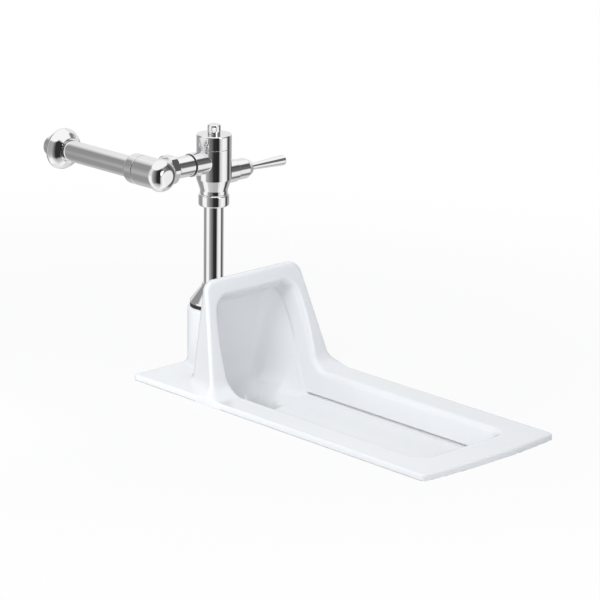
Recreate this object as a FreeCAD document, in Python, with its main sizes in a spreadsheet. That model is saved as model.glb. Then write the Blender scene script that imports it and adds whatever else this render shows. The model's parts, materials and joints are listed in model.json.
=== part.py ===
import FreeCAD, Part
import math
import os
from types import SimpleNamespace
import Sketcher

# A squat toilet: a glazed pan let into the floor, with a hood at its wall end,
# flushed by a lever valve that a wall pipe feeds through an angle stop.
# Frame: origin in the middle of the rim's wall-end edge, at floor level,
# +X along the pan towards its user end, +Y towards the lever, +Z up.

doc = FreeCAD.newDocument("squat_toilet")

# Driving sizes in millimetres, angles in degrees
SIZES = {
    # Rim that lies on the floor
    "rim_length": 653,
    "rim_width": 287,
    "rim_thickness": 10,
    "rim_bow": 9,
    "rim_corner_radius": 7,
    "rim_edge_radius": 4,
    # Hood, with a front that leans back and a rear that leans forward
    "hood_height": 182,
    "hood_front": 181,
    "hood_front_lean": 16.7,
    "hood_front_half_width": 135,
    "hood_front_top_half_width": 102,
    "hood_rear": 58,
    "hood_rear_lean": 11.5,
    "hood_rear_half_width": 78,
    "hood_rear_top_half_width": 87,
    "hood_corner_radius": 18,
    "hood_edge_radius": 11,
    # Mouth of the hood and the recess behind its lip
    "mouth_top_half_width": 81,
    "mouth_height": 153.5,
    "mouth_corner_radius": 22,
    "mouth_taper": 7,
    "lip_depth": 30,
    "lip_overhang": 5,
    "recess_wall": 15,
    "recess_rear_half_width": 60,
    "recess_corner_radius": 26,
    # Trough
    "trough_half_width": 89,
    "trough_front_margin": 62,
    "trough_corner_radius": 26,
    "trough_ramp": 70,
    "ramp_drop": 6,
    "trough_depth": 45,
    "trough_fall": 2,
    "trough_edge_radius": 5,
    # Rinsing gap and channel behind the trough's side walls
    "gap_height": 4,
    "side_wall": 10,
    "channel_width": 14,
    "channel_roof": 4,
    "shell_wall": 12,
    "shell_rear": 10,
    "shell_corner_radius": 30,
    # Trap and outlet
    "well_setback": 125,
    "well_depth": 118,
    "well_corner_radius": 48,
    "well_half_length": 54,
    "well_half_width": 54,
    "trap_radius": 50,
    "trap_wall": 12,
    "trap_bend_radius": 56,
    "trap_top": 172,
    "water_seal": 51,
    "outlet_drop": 340,
    "spigot_reduction": 3,
    "outlet_spigot_length": 60,
    # Horn and spud
    "axis_setback": 33,
    "horn_radius": 42,
    "horn_height": 105,
    "horn_roof": 14,
    "locknut_room": 1,
    "horn_floor": 14,
    "horn_drop_radius": 13,
    "gasket_radius": 38,
    "gasket_thickness": 6,
    "spud_tail_radius": 24,
    "spud_tail_overhang": 2,
    "spud_flange_radius": 30,
    "spud_flange_thickness": 4,
    "spud_neck_wall": 5,
    "spud_neck_length": 14,
    "spud_packing_thickness": 5,
    "locknut_radius": 33,
    "locknut_thickness": 8,
    "cover_skirt": 3,
    "cover_wall": 2.2,
    "cover_collar_wall": 2.6,
    "cover_collar_length": 4,
    "cover_shoulder": 5,
    # Flush pipe and its union
    "pipe_radius": 16,
    "pipe_wall": 1.2,
    "pipe_insertion": 7,
    "pipe_foot_rise": 4,
    "valve_base": 281,
    "pipe_packing_thickness": 4,
    "thrust_ring_thickness": 2,
    "nut_lip": 3.4,
    "nut_wall": 4,
    "nut_edge_radius": 3.2,
    "outlet_thread_wall": 4.5,
    "outlet_thread_length": 10.4,
    # Flush valve body
    "valve_radius": 28.3,
    "valve_neck_radius": 22.3,
    "valve_neck_height": 6,
    "valve_flare_height": 18,
    "outlet_way_radius": 15,
    "outlet_chamber_radius": 17,
    "cylinder_radius": 22,
    "spigot_wall": 3,
    "spigot_length": 8,
    "seat_thickness": 5,
    "seat_lip": 1,
    "seat_bore_radius": 13,
    "seat_ledge": 4,
    "seat_margin": 1,
    "cap_margin": 2,
    "cap_plate": 5,
    "cap_gasket_thickness": 1,
    "cap_edge_radius": 2.5,
    "cap_room": 3.7,
    # Piston and relief valve
    "piston_lift": 10,
    "washer_thickness": 2.7,
    "washer_radius": 17,
    "piston_flange": 4,
    "piston_shank_radius": 12,
    "piston_bore_radius": 6.5,
    "piston_head_drop": 9,
    "piston_head": 10,
    "cup_depth": 4,
    "cup_height": 4,
    "relief_disc_radius": 9,
    "relief_disc": 3,
    "relief_stem_radius": 3,
    "relief_reach": 7,
    # Regulating screw
    "screw_radius": 10.6,
    "screw_height": 15,
    "screw_stem_radius": 5,
    "screw_hole_radius": 4,
    "screw_hole_turn": 138,
    "screw_edge_radius": 2,
    "o_ring_width": 2.4,
    # Inlet side
    "inlet_rise": 14,
    "inlet_boss_radius": 19,
    "inlet_boss_reach": 51,
    "inlet_way_radius": 11,
    "inlet_seal_thickness": 2,
    "inlet_seal_radius": 17.4,
    "tailpiece_radius": 17,
    "tailpiece_length": 40,
    "tailpiece_spigot_radius": 14,
    "tailpiece_spigot_length": 15,
    "tailpiece_flange": 3,
    "union_thread_radius": 19,
    "union_flats": 44,
    "union_neck": 8,
    "union_end_gap": 0.5,
    "union_corner_radius": 24,
    "union_lip": 3.5,
    "union_packing_thickness": 2,
    "union_edge_radius": 2,
    # Angle stop
    "stop_radius": 24,
    "stop_shoulder": 0.5,
    "stop_rear": 26,
    "stop_seat": 12,
    "stop_chamber_radius": 17,
    "stop_way_radius": 12,
    "stop_thread_radius": 21,
    "stop_thread_length": 4,
    "stop_edge_radius": 2,
    "stop_travel": 6,
    "stop_disc_radius": 14,
    "stop_disc_thickness": 3,
    "stop_hub_radius": 7.5,
    "stop_hub_length": 6,
    "stop_washer_thickness": 3,
    "bonnet_flange": 2.5,
    "spindle_radius": 5,
    "spindle_nose_radius": 4,
    "disc_web": 1.4,
    "spindle_head": 3,
    "spindle_slot": 1.6,
    "spindle_slot_depth": 1.8,
    "stop_cap_wall": 5,
    "stop_dome_radius": 18,
    "stop_cap_room": 1.2,
    "stop_cap_crown": 8,
    # Supply
    "supply_radius": 17,
    "supply_wall": 2.5,
    "supply_insertion": 9,
    "supply_thread_length": 12,
    "supply_thread_wall": 3.5,
    "supply_packing_thickness": 4,
    "supply_nut_lip": 4,
    "supply_nut_wall": 3.2,
    "supply_nut_edge_radius": 5,
    "wall_distance": 222,
    "wall_tail": 28,
    "tail_thread_depth": 0.4,
    "flange_radius": 33.5,
    "flange_edge": 3,
    "flange_depth": 20,
    "flange_shoulder_radius": 29,
    "flange_shoulder_depth": 12.5,
    "flange_collar": 3,
    "flange_wall": 3,
    "flange_dome_radius": 14,
    # Handle
    "handle_rise": 41,
    "handle_boss_radius": 18.5,
    "handle_boss_reach": 42,
    "bushing_radius": 12,
    "bushing_depth": 19,
    "bushing_thread_radius": 13.6,
    "bushing_thread_length": 16,
    "bushing_port_radius": 8,
    "spring_pocket_radius": 8.5,
    "spring_length": 14,
    "packing_pocket_radius": 7,
    "packing_pocket_depth": 4.5,
    "plunger_guide": 12.5,
    "plunger_radius": 3.5,
    "plunger_head_radius": 7.5,
    "plunger_head": 3,
    "spring_wire": 1.2,
    "spring_mean_radius": 5.8,
    "spring_turns": 4,
    "pusher_radius": 10.5,
    "pusher_room": 1.3,
    "pusher_thickness": 2.7,
    "ball_setback": 10.7,
    "ball_radius": 10.5,
    "handle_cap_wall": 3,
    "handle_cap_length": 34,
    "handle_cap_shoulder": 23,
    "handle_cap_nose_wall": 3.4,
    "handle_cap_edge_radius": 2.5,
    "handle_opening_radius": 8.6,
    "lever_neck_radius": 5.2,
    "lever_end_radius": 8.7,
    "lever_reach": 152,
    "lever_edge_radius": 1.5,
    # Clearances: pieces fixed together, pieces that run on a shaft, pieces that pass each other
    "fixed_gap": 0.15,
    "shaft_gap": 0.05,
    "free_gap": 0.3,
}

sheet = doc.addObject("Spreadsheet::Sheet", "Sizes")
for row, (alias, number) in enumerate(SIZES.items(), start=1):
    sheet.set(f"A{row}", alias)
    sheet.set(f"B{row}", str(number))
    sheet.setAlias(f"B{row}", alias)
doc.recompute()


class Size:
    """A length or angle: its number, and the sheet expression that gives it."""

    def __init__(self, number, text):
        self.number = number
        self.text = text

    def __add__(self, other):
        other = as_size(other)
        return Size(self.number + other.number, f"({self.text} + {other.text})")

    def __sub__(self, other):
        other = as_size(other)
        return Size(self.number - other.number, f"({self.text} - {other.text})")

    def __mul__(self, other):
        other = as_size(other)
        return Size(self.number * other.number, f"({self.text} * {other.text})")

    def __truediv__(self, other):
        other = as_size(other)
        return Size(self.number / other.number, f"({self.text} / {other.text})")

    def __neg__(self):
        return Size(-self.number, f"(-1 * {self.text})")


def as_size(item):
    return item if isinstance(item, Size) else Size(item, str(item))


s = SimpleNamespace(**{alias: Size(number, f"Sizes.{alias}") for alias, number in SIZES.items()})
ZERO = Size(0, "0")
parts = []


def bind(thing, path, size):
    thing.setExpression(path, as_size(size).text)


def cosine(angle):
    return Size(math.cos(math.radians(angle.number)), f"cos({angle.text} * 1 deg)")


def root(size):
    return Size(math.sqrt(size.number), f"sqrt({size.text})")


def place(thing, x=ZERO, y=ZERO, z=ZERO):
    for direction, size in (("x", x), ("y", y), ("z", z)):
        bind(thing, f"Placement.Base.{direction}", size)


def new_body(label, x=ZERO, y=ZERO, z=ZERO):
    body = doc.addObject("PartDesign::Body", label)
    body.Label = label
    place(body, x, y, z)
    parts.append(body)
    return body


def sketch_on(body, name, plane, shift=(ZERO, ZERO, ZERO), tilt=None, tilt_sign=1):
    """A sketch on one of the body's own planes, shifted, or tilted about the sketch's X axis."""
    sketch = body.newObject("Sketcher::SketchObject", name)
    support = next(item for item in body.Origin.OriginFeatures if item.Role == plane)
    sketch.AttachmentSupport = (support, [""])
    sketch.MapMode = "FlatFace"
    if tilt is not None:
        turn_back = FreeCAD.Rotation(FreeCAD.Vector(tilt_sign, 0, 0), tilt.number)
        sketch.AttachmentOffset = FreeCAD.Placement(FreeCAD.Vector(), turn_back)
        bind(sketch, "AttachmentOffset.Rotation.Angle", tilt)
    for direction, size in zip("xyz", shift):
        bind(sketch, f"AttachmentOffset.Base.{direction}", size)
    return sketch


def pin_point(sketch, element, end, x, y):
    """Fixes a point of the sketch at x, y from the sketch's origin."""
    for kind, size in (("DistanceX", as_size(x)), ("DistanceY", as_size(y))):
        number = sketch.addConstraint(Sketcher.Constraint(kind, -1, 1, element, end, size.number))
        if "Sizes." in size.text:
            bind(sketch, f"Constraints[{number}]", size)


def polygon(sketch, points):
    corners = [FreeCAD.Vector(as_size(x).number, as_size(y).number, 0) for x, y in points]
    lines = []
    for start, end in zip(corners, corners[1:] + corners[:1]):
        lines.append(sketch.addGeometry(Part.LineSegment(start, end), False))
    joins = []
    for line, following in zip(lines, lines[1:] + lines[:1]):
        joins.append(Sketcher.Constraint("Coincident", line, 2, following, 1))
    sketch.addConstraint(joins)
    for line, (x, y) in zip(lines, points):
        pin_point(sketch, line, 1, x, y)


def circle(sketch, radius, x=ZERO, y=ZERO):
    centre = FreeCAD.Vector(x.number, y.number, 0)
    ring = sketch.addGeometry(Part.Circle(centre, FreeCAD.Vector(0, 0, 1), radius.number), False)
    pin_point(sketch, ring, 3, x, y)
    number = sketch.addConstraint(Sketcher.Constraint("Radius", ring, radius.number))
    bind(sketch, f"Constraints[{number}]", radius)


def finish_feature(body, feature):
    body.Tip = feature
    doc.recompute()
    return feature


def turn(body, name, axis, points, cut=False, rise=ZERO, setback=ZERO):
    """Revolves (radius, station) points about an axis of the body, or one beside it."""
    along = axis in ("x", "y")
    plane = "YZ_Plane" if axis == "y" else "XZ_Plane"
    sketch = sketch_on(body, f"{name}_outline", plane, shift=(setback, rise, ZERO))
    polygon(sketch, [(station, radius) if along else (radius, station) for radius, station in points])
    kind = "PartDesign::Groove" if cut else "PartDesign::Revolution"
    feature = body.newObject(kind, name)
    feature.Profile = sketch
    feature.ReferenceAxis = (sketch, ["H_Axis" if along else "V_Axis"])
    feature.Angle = 360
    return finish_feature(body, feature)


def round_edges(body, name, wanted, radius):
    """Rounds those edges of the body's last feature that the test picks."""
    base = body.Tip
    names = [f"Edge{index}" for index, edge in enumerate(base.Shape.Edges, start=1) if wanted(edge)]
    if not names:
        raise RuntimeError(f"{body.Label}: no edge found for {name}")
    fillet = body.newObject("PartDesign::Fillet", name)
    fillet.Base = (base, names)
    bind(fillet, "Radius", radius)
    return finish_feature(body, fillet)


def ring_edge(axis, rings):
    """A test for circular edges about the axis, at given (radius, station) pairs."""
    direction = "xyz".index(axis)

    def wanted(edge):
        if not isinstance(edge.Curve, Part.Circle):
            return False
        station = edge.Curve.Center[direction]
        return any(
            abs(edge.Curve.Radius - radius.number) < 0.01 and abs(station - height.number) < 0.01
            for radius, height in rings
        )

    return wanted


def turned_part(label, axis, points, at=(ZERO, ZERO, ZERO), rounds=(), radius=None):
    body = new_body(label, *at)
    turn(body, f"{label}_turned", axis, points)
    if rounds:
        round_edges(body, f"{label}_rounded", ring_edge(axis, rounds), radius)
    return body


def washer(label, axis, inner, outer, start, end, at=(ZERO, ZERO, ZERO)):
    return turned_part(label, axis, [(inner, start), (outer, start), (outer, end), (inner, end)], at)


def cylinder_points(radius, start, end):
    return [(ZERO, start), (radius, start), (radius, end), (ZERO, end)]


# Shared stations: heights above the floor along the flush pipe
upright = (s.axis_setback, ZERO, ZERO)
pipe_hole = s.pipe_radius + s.fixed_gap
spud_hole = s.spud_tail_radius + s.fixed_gap
spud_neck_radius = pipe_hole + s.spud_neck_wall
roof_underside = s.horn_height - s.horn_roof
locknut_foot = roof_underside - s.locknut_thickness
spud_foot = locknut_foot - s.spud_tail_overhang
gasket_top = s.horn_height + s.gasket_thickness
spud_flange_top = gasket_top + s.spud_flange_thickness
spud_neck_top = spud_flange_top + s.spud_neck_length
spud_packing_top = spud_neck_top + s.spud_packing_thickness
pipe_foot = spud_foot + s.pipe_foot_rise
pipe_top = s.valve_base + s.pipe_insertion
outlet_thread_radius = pipe_hole + s.outlet_thread_wall
pipe_packing_foot = s.valve_base - s.pipe_packing_thickness
thrust_ring_foot = pipe_packing_foot - s.thrust_ring_thickness
nut_foot = thrust_ring_foot - s.nut_lip
nut_top = s.valve_base + s.outlet_thread_length
neck_base = nut_top + s.free_gap
neck_top = neck_base + s.valve_neck_height
flare_top = neck_top + s.valve_flare_height
handle_height = s.valve_base + s.handle_rise
seat_shelf = handle_height + s.bushing_port_radius + s.seat_margin
seat_top = seat_shelf + s.seat_thickness
seat_lip_top = seat_top + s.seat_lip
seat_pocket_radius = s.outlet_chamber_radius + s.seat_ledge
inlet_height = seat_shelf + s.inlet_rise
body_top = inlet_height + s.inlet_boss_radius + s.cap_margin
spigot_radius = s.cylinder_radius + s.spigot_wall
spigot_top = body_top + s.spigot_length
cap_shoulder = spigot_top + s.cap_gasket_thickness
washer_foot = seat_lip_top + s.free_gap
washer_top = washer_foot + s.washer_thickness
piston_flange_top = washer_top + s.piston_flange
head_foot = body_top - s.piston_head_drop
head_top = head_foot + s.piston_head
relief_foot = head_top + s.free_gap
relief_top = relief_foot + s.relief_disc
cylinder_top = relief_top + s.piston_lift + s.cap_room
cap_top = cylinder_top + s.cap_plate
screw_foot = cap_top + s.free_gap
screw_top = screw_foot + s.screw_height

# Stations along the inlet, which runs from the valve towards -Y
tailpiece_start = -(s.inlet_boss_reach + s.inlet_seal_thickness)
tailpiece_end = tailpiece_start - s.tailpiece_length
tailpiece_face = tailpiece_end - s.tailpiece_flange
union_face = tailpiece_face - s.union_packing_thickness
stop_offset = union_face - s.union_neck - s.stop_radius
inlet_line = (s.axis_setback, ZERO, inlet_height)
spigot_hole = s.tailpiece_spigot_radius + s.fixed_gap
spigot_seat = -(s.inlet_boss_reach - s.tailpiece_spigot_length)

# Stations along the stop and the supply pipe, which runs towards -X
stop_line = (s.axis_setback, stop_offset, inlet_height)
supply_hole = s.supply_radius + s.fixed_gap
supply_thread_radius = supply_hole + s.supply_thread_wall
supply_mouth = -(s.stop_rear + s.supply_thread_length)
supply_packing_end = supply_mouth - s.supply_packing_thickness
supply_nut_end = supply_packing_end - s.supply_nut_lip
supply_seat = supply_mouth + s.supply_insertion
wall_face = -s.wall_distance
stop_front = s.union_thread_radius + s.stop_shoulder
stop_cap_radius = s.stop_thread_radius + s.fixed_gap + s.stop_cap_wall
bonnet_seat = stop_front + s.stop_thread_length
bonnet_end = bonnet_seat + s.bonnet_flange
spindle_end = bonnet_end + s.spindle_head
spindle_hole = s.spindle_radius + s.shaft_gap
stop_washer_face = s.stop_travel + s.free_gap - s.stop_seat
disc_face = stop_washer_face + s.stop_washer_thickness
disc_back = disc_face + s.stop_disc_thickness
hub_end = disc_back + s.stop_hub_length
nose_end = disc_face + s.disc_web + s.free_gap

# Stations along the handle, which runs towards +Y
handle_line = (s.axis_setback, ZERO, handle_height)
bushing_seat = s.handle_boss_reach - s.bushing_depth
packing_end = bushing_seat + s.packing_pocket_depth
spring_seat = packing_end + s.plunger_guide
plunger_head_foot = spring_seat + s.spring_length
plunger_head_face = plunger_head_foot + s.plunger_head
pusher_face = plunger_head_face + s.free_gap
pusher_back = pusher_face + s.pusher_thickness
ball_centre = pusher_face + s.ball_setback
bushing_end = s.handle_boss_reach + s.bushing_thread_length
pusher_room_radius = s.pusher_radius + s.pusher_room
plunger_hole = s.plunger_radius + s.shaft_gap

# Stations along the pan, and depths of the trough
trough_front = s.rim_length - s.trough_front_margin
ramp_foot = trough_front - s.trough_ramp
lip_back = s.hood_front - s.lip_depth / cosine(s.hood_front_lean)
trough_rear = lip_back - s.rim_thickness
trough_floor = s.rim_thickness - s.trough_depth
trough_low_floor = trough_floor - s.trough_fall
shell_front = trough_front + s.shell_wall
shell_half_width = s.trough_half_width + s.side_wall + s.channel_width + s.shell_wall
shell_underside = trough_floor - s.shell_wall
low_underside = trough_low_floor - s.shell_wall


def make_spud():
    turned_part("spud_body", "z", [
        (pipe_hole, spud_foot),
        (s.spud_tail_radius, spud_foot),
        (s.spud_tail_radius, gasket_top),
        (s.spud_flange_radius, gasket_top),
        (s.spud_flange_radius, spud_flange_top),
        (spud_neck_radius, spud_flange_top),
        (spud_neck_radius, spud_neck_top),
        (pipe_hole, spud_neck_top),
    ], upright)
    washer("spud_gasket", "z", spud_hole, s.gasket_radius, s.horn_height, gasket_top, upright)
    washer("spud_locknut", "z", spud_hole, s.locknut_radius, locknut_foot, roof_underside, upright)
    washer("spud_packing", "z", pipe_hole, spud_neck_radius, spud_neck_top, spud_packing_top, upright)
    skirt_top = gasket_top + s.cover_skirt
    slope_top = spud_packing_top + s.cover_shoulder
    cover_top = slope_top + s.cover_collar_length
    collar_radius = pipe_hole + s.cover_collar_wall
    thread_radius = spud_neck_radius + s.fixed_gap
    skirt_radius = s.gasket_radius - s.cover_wall
    flange_room = spud_flange_top + s.fixed_gap
    turned_part("spud_cover", "z", [
        (skirt_radius, gasket_top),
        (s.gasket_radius, gasket_top),
        (s.gasket_radius, skirt_top),
        (collar_radius, slope_top),
        (collar_radius, cover_top),
        (pipe_hole, cover_top),
        (pipe_hole, spud_packing_top),
        (thread_radius, spud_packing_top),
        (thread_radius, flange_room),
        (skirt_radius, flange_room),
    ], upright)


def make_flush_pipe():
    washer("flush_pipe", "z", s.pipe_radius - s.pipe_wall, s.pipe_radius, pipe_foot, pipe_top, upright)
    washer("pipe_packing", "z", pipe_hole, outlet_thread_radius, pipe_packing_foot, s.valve_base, upright)
    washer("pipe_thrust_ring", "z", pipe_hole, outlet_thread_radius, thrust_ring_foot, pipe_packing_foot,
           upright)
    thread_hole = outlet_thread_radius + s.fixed_gap
    nut_radius = thread_hole + s.nut_wall
    turned_part("pipe_union_nut", "z", [
        (pipe_hole, nut_foot),
        (nut_radius, nut_foot),
        (nut_radius, nut_top),
        (thread_hole, nut_top),
        (thread_hole, thrust_ring_foot),
        (pipe_hole, thrust_ring_foot),
    ], upright, rounds=[(nut_radius, nut_foot), (nut_radius, nut_top)], radius=s.nut_edge_radius)


def make_valve_body():
    body = new_body("valve_body", *upright)
    turn(body, "valve_barrel", "z", [
        (ZERO, s.valve_base),
        (outlet_thread_radius, s.valve_base),
        (outlet_thread_radius, neck_base),
        (s.valve_neck_radius, neck_base),
        (s.valve_neck_radius, neck_top),
        (s.valve_radius, flare_top),
        (s.valve_radius, body_top),
        (spigot_radius, body_top),
        (spigot_radius, spigot_top),
        (ZERO, spigot_top),
    ])
    turn(body, "inlet_boss", "y", cylinder_points(s.inlet_boss_radius, ZERO, -s.inlet_boss_reach),
         rise=inlet_height)
    turn(body, "handle_boss", "y", cylinder_points(s.handle_boss_radius, ZERO, s.handle_boss_reach),
         rise=handle_height)
    turn(body, "valve_bore", "z", [
        (ZERO, nut_foot),
        (pipe_hole, nut_foot),
        (pipe_hole, pipe_top + s.free_gap),
        (s.outlet_way_radius, pipe_top + s.free_gap),
        (s.outlet_way_radius, neck_top),
        (s.outlet_chamber_radius, neck_top),
        (s.outlet_chamber_radius, seat_shelf),
        (seat_pocket_radius, seat_shelf),
        (seat_pocket_radius, seat_top),
        (s.cylinder_radius, seat_top),
        (s.cylinder_radius, cap_top),
        (ZERO, cap_top),
    ], cut=True)
    inlet_overshoot = tailpiece_start
    turn(body, "inlet_bore", "y", [
        (ZERO, ZERO),
        (s.inlet_way_radius, ZERO),
        (s.inlet_way_radius, spigot_seat),
        (spigot_hole, spigot_seat),
        (spigot_hole, inlet_overshoot),
        (ZERO, inlet_overshoot),
    ], cut=True, rise=inlet_height)
    turn(body, "handle_bore", "y", [
        (ZERO, ZERO),
        (s.bushing_port_radius, ZERO),
        (s.bushing_port_radius, bushing_seat),
        (s.bushing_radius + s.fixed_gap, bushing_seat),
        (s.bushing_radius + s.fixed_gap, bushing_end),
        (ZERO, bushing_end),
    ], cut=True, rise=handle_height)


def make_valve_insides():
    lip_radius = (s.seat_bore_radius + s.washer_radius) / 2
    turned_part("main_seat", "z", [
        (s.seat_bore_radius, seat_shelf),
        (seat_pocket_radius - s.fixed_gap, seat_shelf),
        (seat_pocket_radius - s.fixed_gap, seat_top),
        (lip_radius, seat_top),
        (lip_radius, seat_lip_top),
        (s.seat_bore_radius, seat_lip_top),
    ], upright)
    head_radius = s.cylinder_radius - s.free_gap
    cup_radius = head_radius - s.cup_depth
    cup_foot = head_foot + (s.piston_head - s.cup_height) / 2
    cup_top = cup_foot + s.cup_height
    turned_part("piston", "z", [
        (s.piston_bore_radius, washer_foot),
        (s.piston_shank_radius, washer_foot),
        (s.piston_shank_radius, washer_top),
        (s.washer_radius, washer_top),
        (s.washer_radius, piston_flange_top),
        (s.piston_shank_radius, piston_flange_top),
        (s.piston_shank_radius, head_foot),
        (head_radius, head_foot),
        (head_radius, cup_foot),
        (cup_radius, cup_foot),
        (cup_radius, cup_top),
        (head_radius, cup_top),
        (head_radius, head_top),
        (s.piston_bore_radius, head_top),
    ], upright)
    washer("seat_washer", "z", s.piston_shank_radius + s.fixed_gap, s.washer_radius, washer_foot,
           washer_top, upright)
    washer("piston_cup", "z", cup_radius + s.fixed_gap, s.cylinder_radius - s.fixed_gap, cup_foot,
           cup_top, upright)
    stem_tip = handle_height - s.relief_reach
    turned_part("relief_valve", "z", [
        (ZERO, stem_tip),
        (s.relief_stem_radius, stem_tip),
        (s.relief_stem_radius, relief_foot),
        (s.relief_disc_radius, relief_foot),
        (s.relief_disc_radius, relief_top),
        (ZERO, relief_top),
    ], upright)


def make_top_cap():
    screw_hole = s.screw_stem_radius + s.shaft_gap
    groove_radius = screw_hole + s.o_ring_width
    groove_foot = cylinder_top + (s.cap_plate - s.o_ring_width) / 2
    groove_top = groove_foot + s.o_ring_width
    skirt_radius = spigot_radius + s.fixed_gap
    turned_part("top_cap", "z", [
        (skirt_radius, body_top + s.free_gap),
        (s.valve_radius, body_top + s.free_gap),
        (s.valve_radius, cap_top),
        (screw_hole, cap_top),
        (screw_hole, groove_top),
        (groove_radius, groove_top),
        (groove_radius, groove_foot),
        (screw_hole, groove_foot),
        (screw_hole, cylinder_top),
        (s.cylinder_radius, cylinder_top),
        (s.cylinder_radius, cap_shoulder),
        (skirt_radius, cap_shoulder),
    ], upright, rounds=[(s.valve_radius, cap_top)], radius=s.cap_edge_radius)
    washer("cap_gasket", "z", s.cylinder_radius + s.fixed_gap, spigot_radius, spigot_top, cap_shoulder,
           upright)
    washer("screw_o_ring", "z", screw_hole, groove_radius - s.fixed_gap, groove_foot, groove_top, upright)
    screw = turned_part("regulating_screw", "z", [
        (ZERO, cylinder_top),
        (s.screw_stem_radius, cylinder_top),
        (s.screw_stem_radius, screw_foot),
        (s.screw_radius, screw_foot),
        (s.screw_radius, screw_top),
        (ZERO, screw_top),
    ], upright, rounds=[(s.screw_radius, screw_top)], radius=s.screw_edge_radius)
    reach = s.screw_radius + s.free_gap
    turn(screw, "cross_hole", "x", cylinder_points(s.screw_hole_radius, -reach, reach), cut=True,
         rise=screw_foot + s.screw_height / 2)
    upright_turn = FreeCAD.Rotation(FreeCAD.Vector(0, 0, 1), s.screw_hole_turn.number)
    screw.Placement = FreeCAD.Placement(screw.Placement.Base, upright_turn)
    bind(screw, "Placement.Rotation.Angle", s.screw_hole_turn)


def make_inlet():
    washer("inlet_seal", "y", spigot_hole, s.inlet_seal_radius, -s.inlet_boss_reach, tailpiece_start,
           inlet_line)
    turned_part("inlet_tailpiece", "y", [
        (s.inlet_way_radius, spigot_seat - s.free_gap),
        (s.tailpiece_spigot_radius, spigot_seat - s.free_gap),
        (s.tailpiece_spigot_radius, tailpiece_start),
        (s.tailpiece_radius, tailpiece_start),
        (s.tailpiece_radius, tailpiece_end),
        (s.union_thread_radius, tailpiece_end),
        (s.union_thread_radius, tailpiece_face),
        (s.inlet_way_radius, tailpiece_face),
    ], inlet_line)
    washer("union_packing", "y", s.inlet_way_radius, s.union_thread_radius, tailpiece_face, union_face,
           inlet_line)
    nut_start = tailpiece_end + s.union_lip
    nut_end = stop_offset + stop_cap_radius + s.union_end_gap
    thread_hole = s.union_thread_radius + s.fixed_gap
    lip_hole = s.tailpiece_radius + s.fixed_gap
    nut = turned_part("inlet_union_nut", "y", [
        (lip_hole, nut_start),
        (s.union_corner_radius, nut_start),
        (s.union_corner_radius, nut_end),
        (thread_hole, nut_end),
        (thread_hole, tailpiece_end),
        (lip_hole, tailpiece_end),
    ], inlet_line, rounds=[(s.union_corner_radius, nut_start), (s.union_corner_radius, nut_end)],
        radius=s.union_edge_radius)
    flats = sketch_on(nut, "union_flats_outline", "XZ_Plane")
    corner = s.union_flats / 2 / cosine(Size(30, "30"))
    half = s.union_flats / 2
    polygon(flats, [
        (corner, ZERO),
        (corner / 2, half),
        (-(corner / 2), half),
        (-corner, ZERO),
        (-(corner / 2), -half),
        (corner / 2, -half),
    ])
    circle(flats, corner + s.union_edge_radius)
    pocket = nut.newObject("PartDesign::Pocket", "union_flats_cut")
    pocket.Profile = flats
    pocket.SideType = "Symmetric"
    bind(pocket, "Length", -nut_end * 3)
    finish_feature(nut, pocket)


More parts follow.
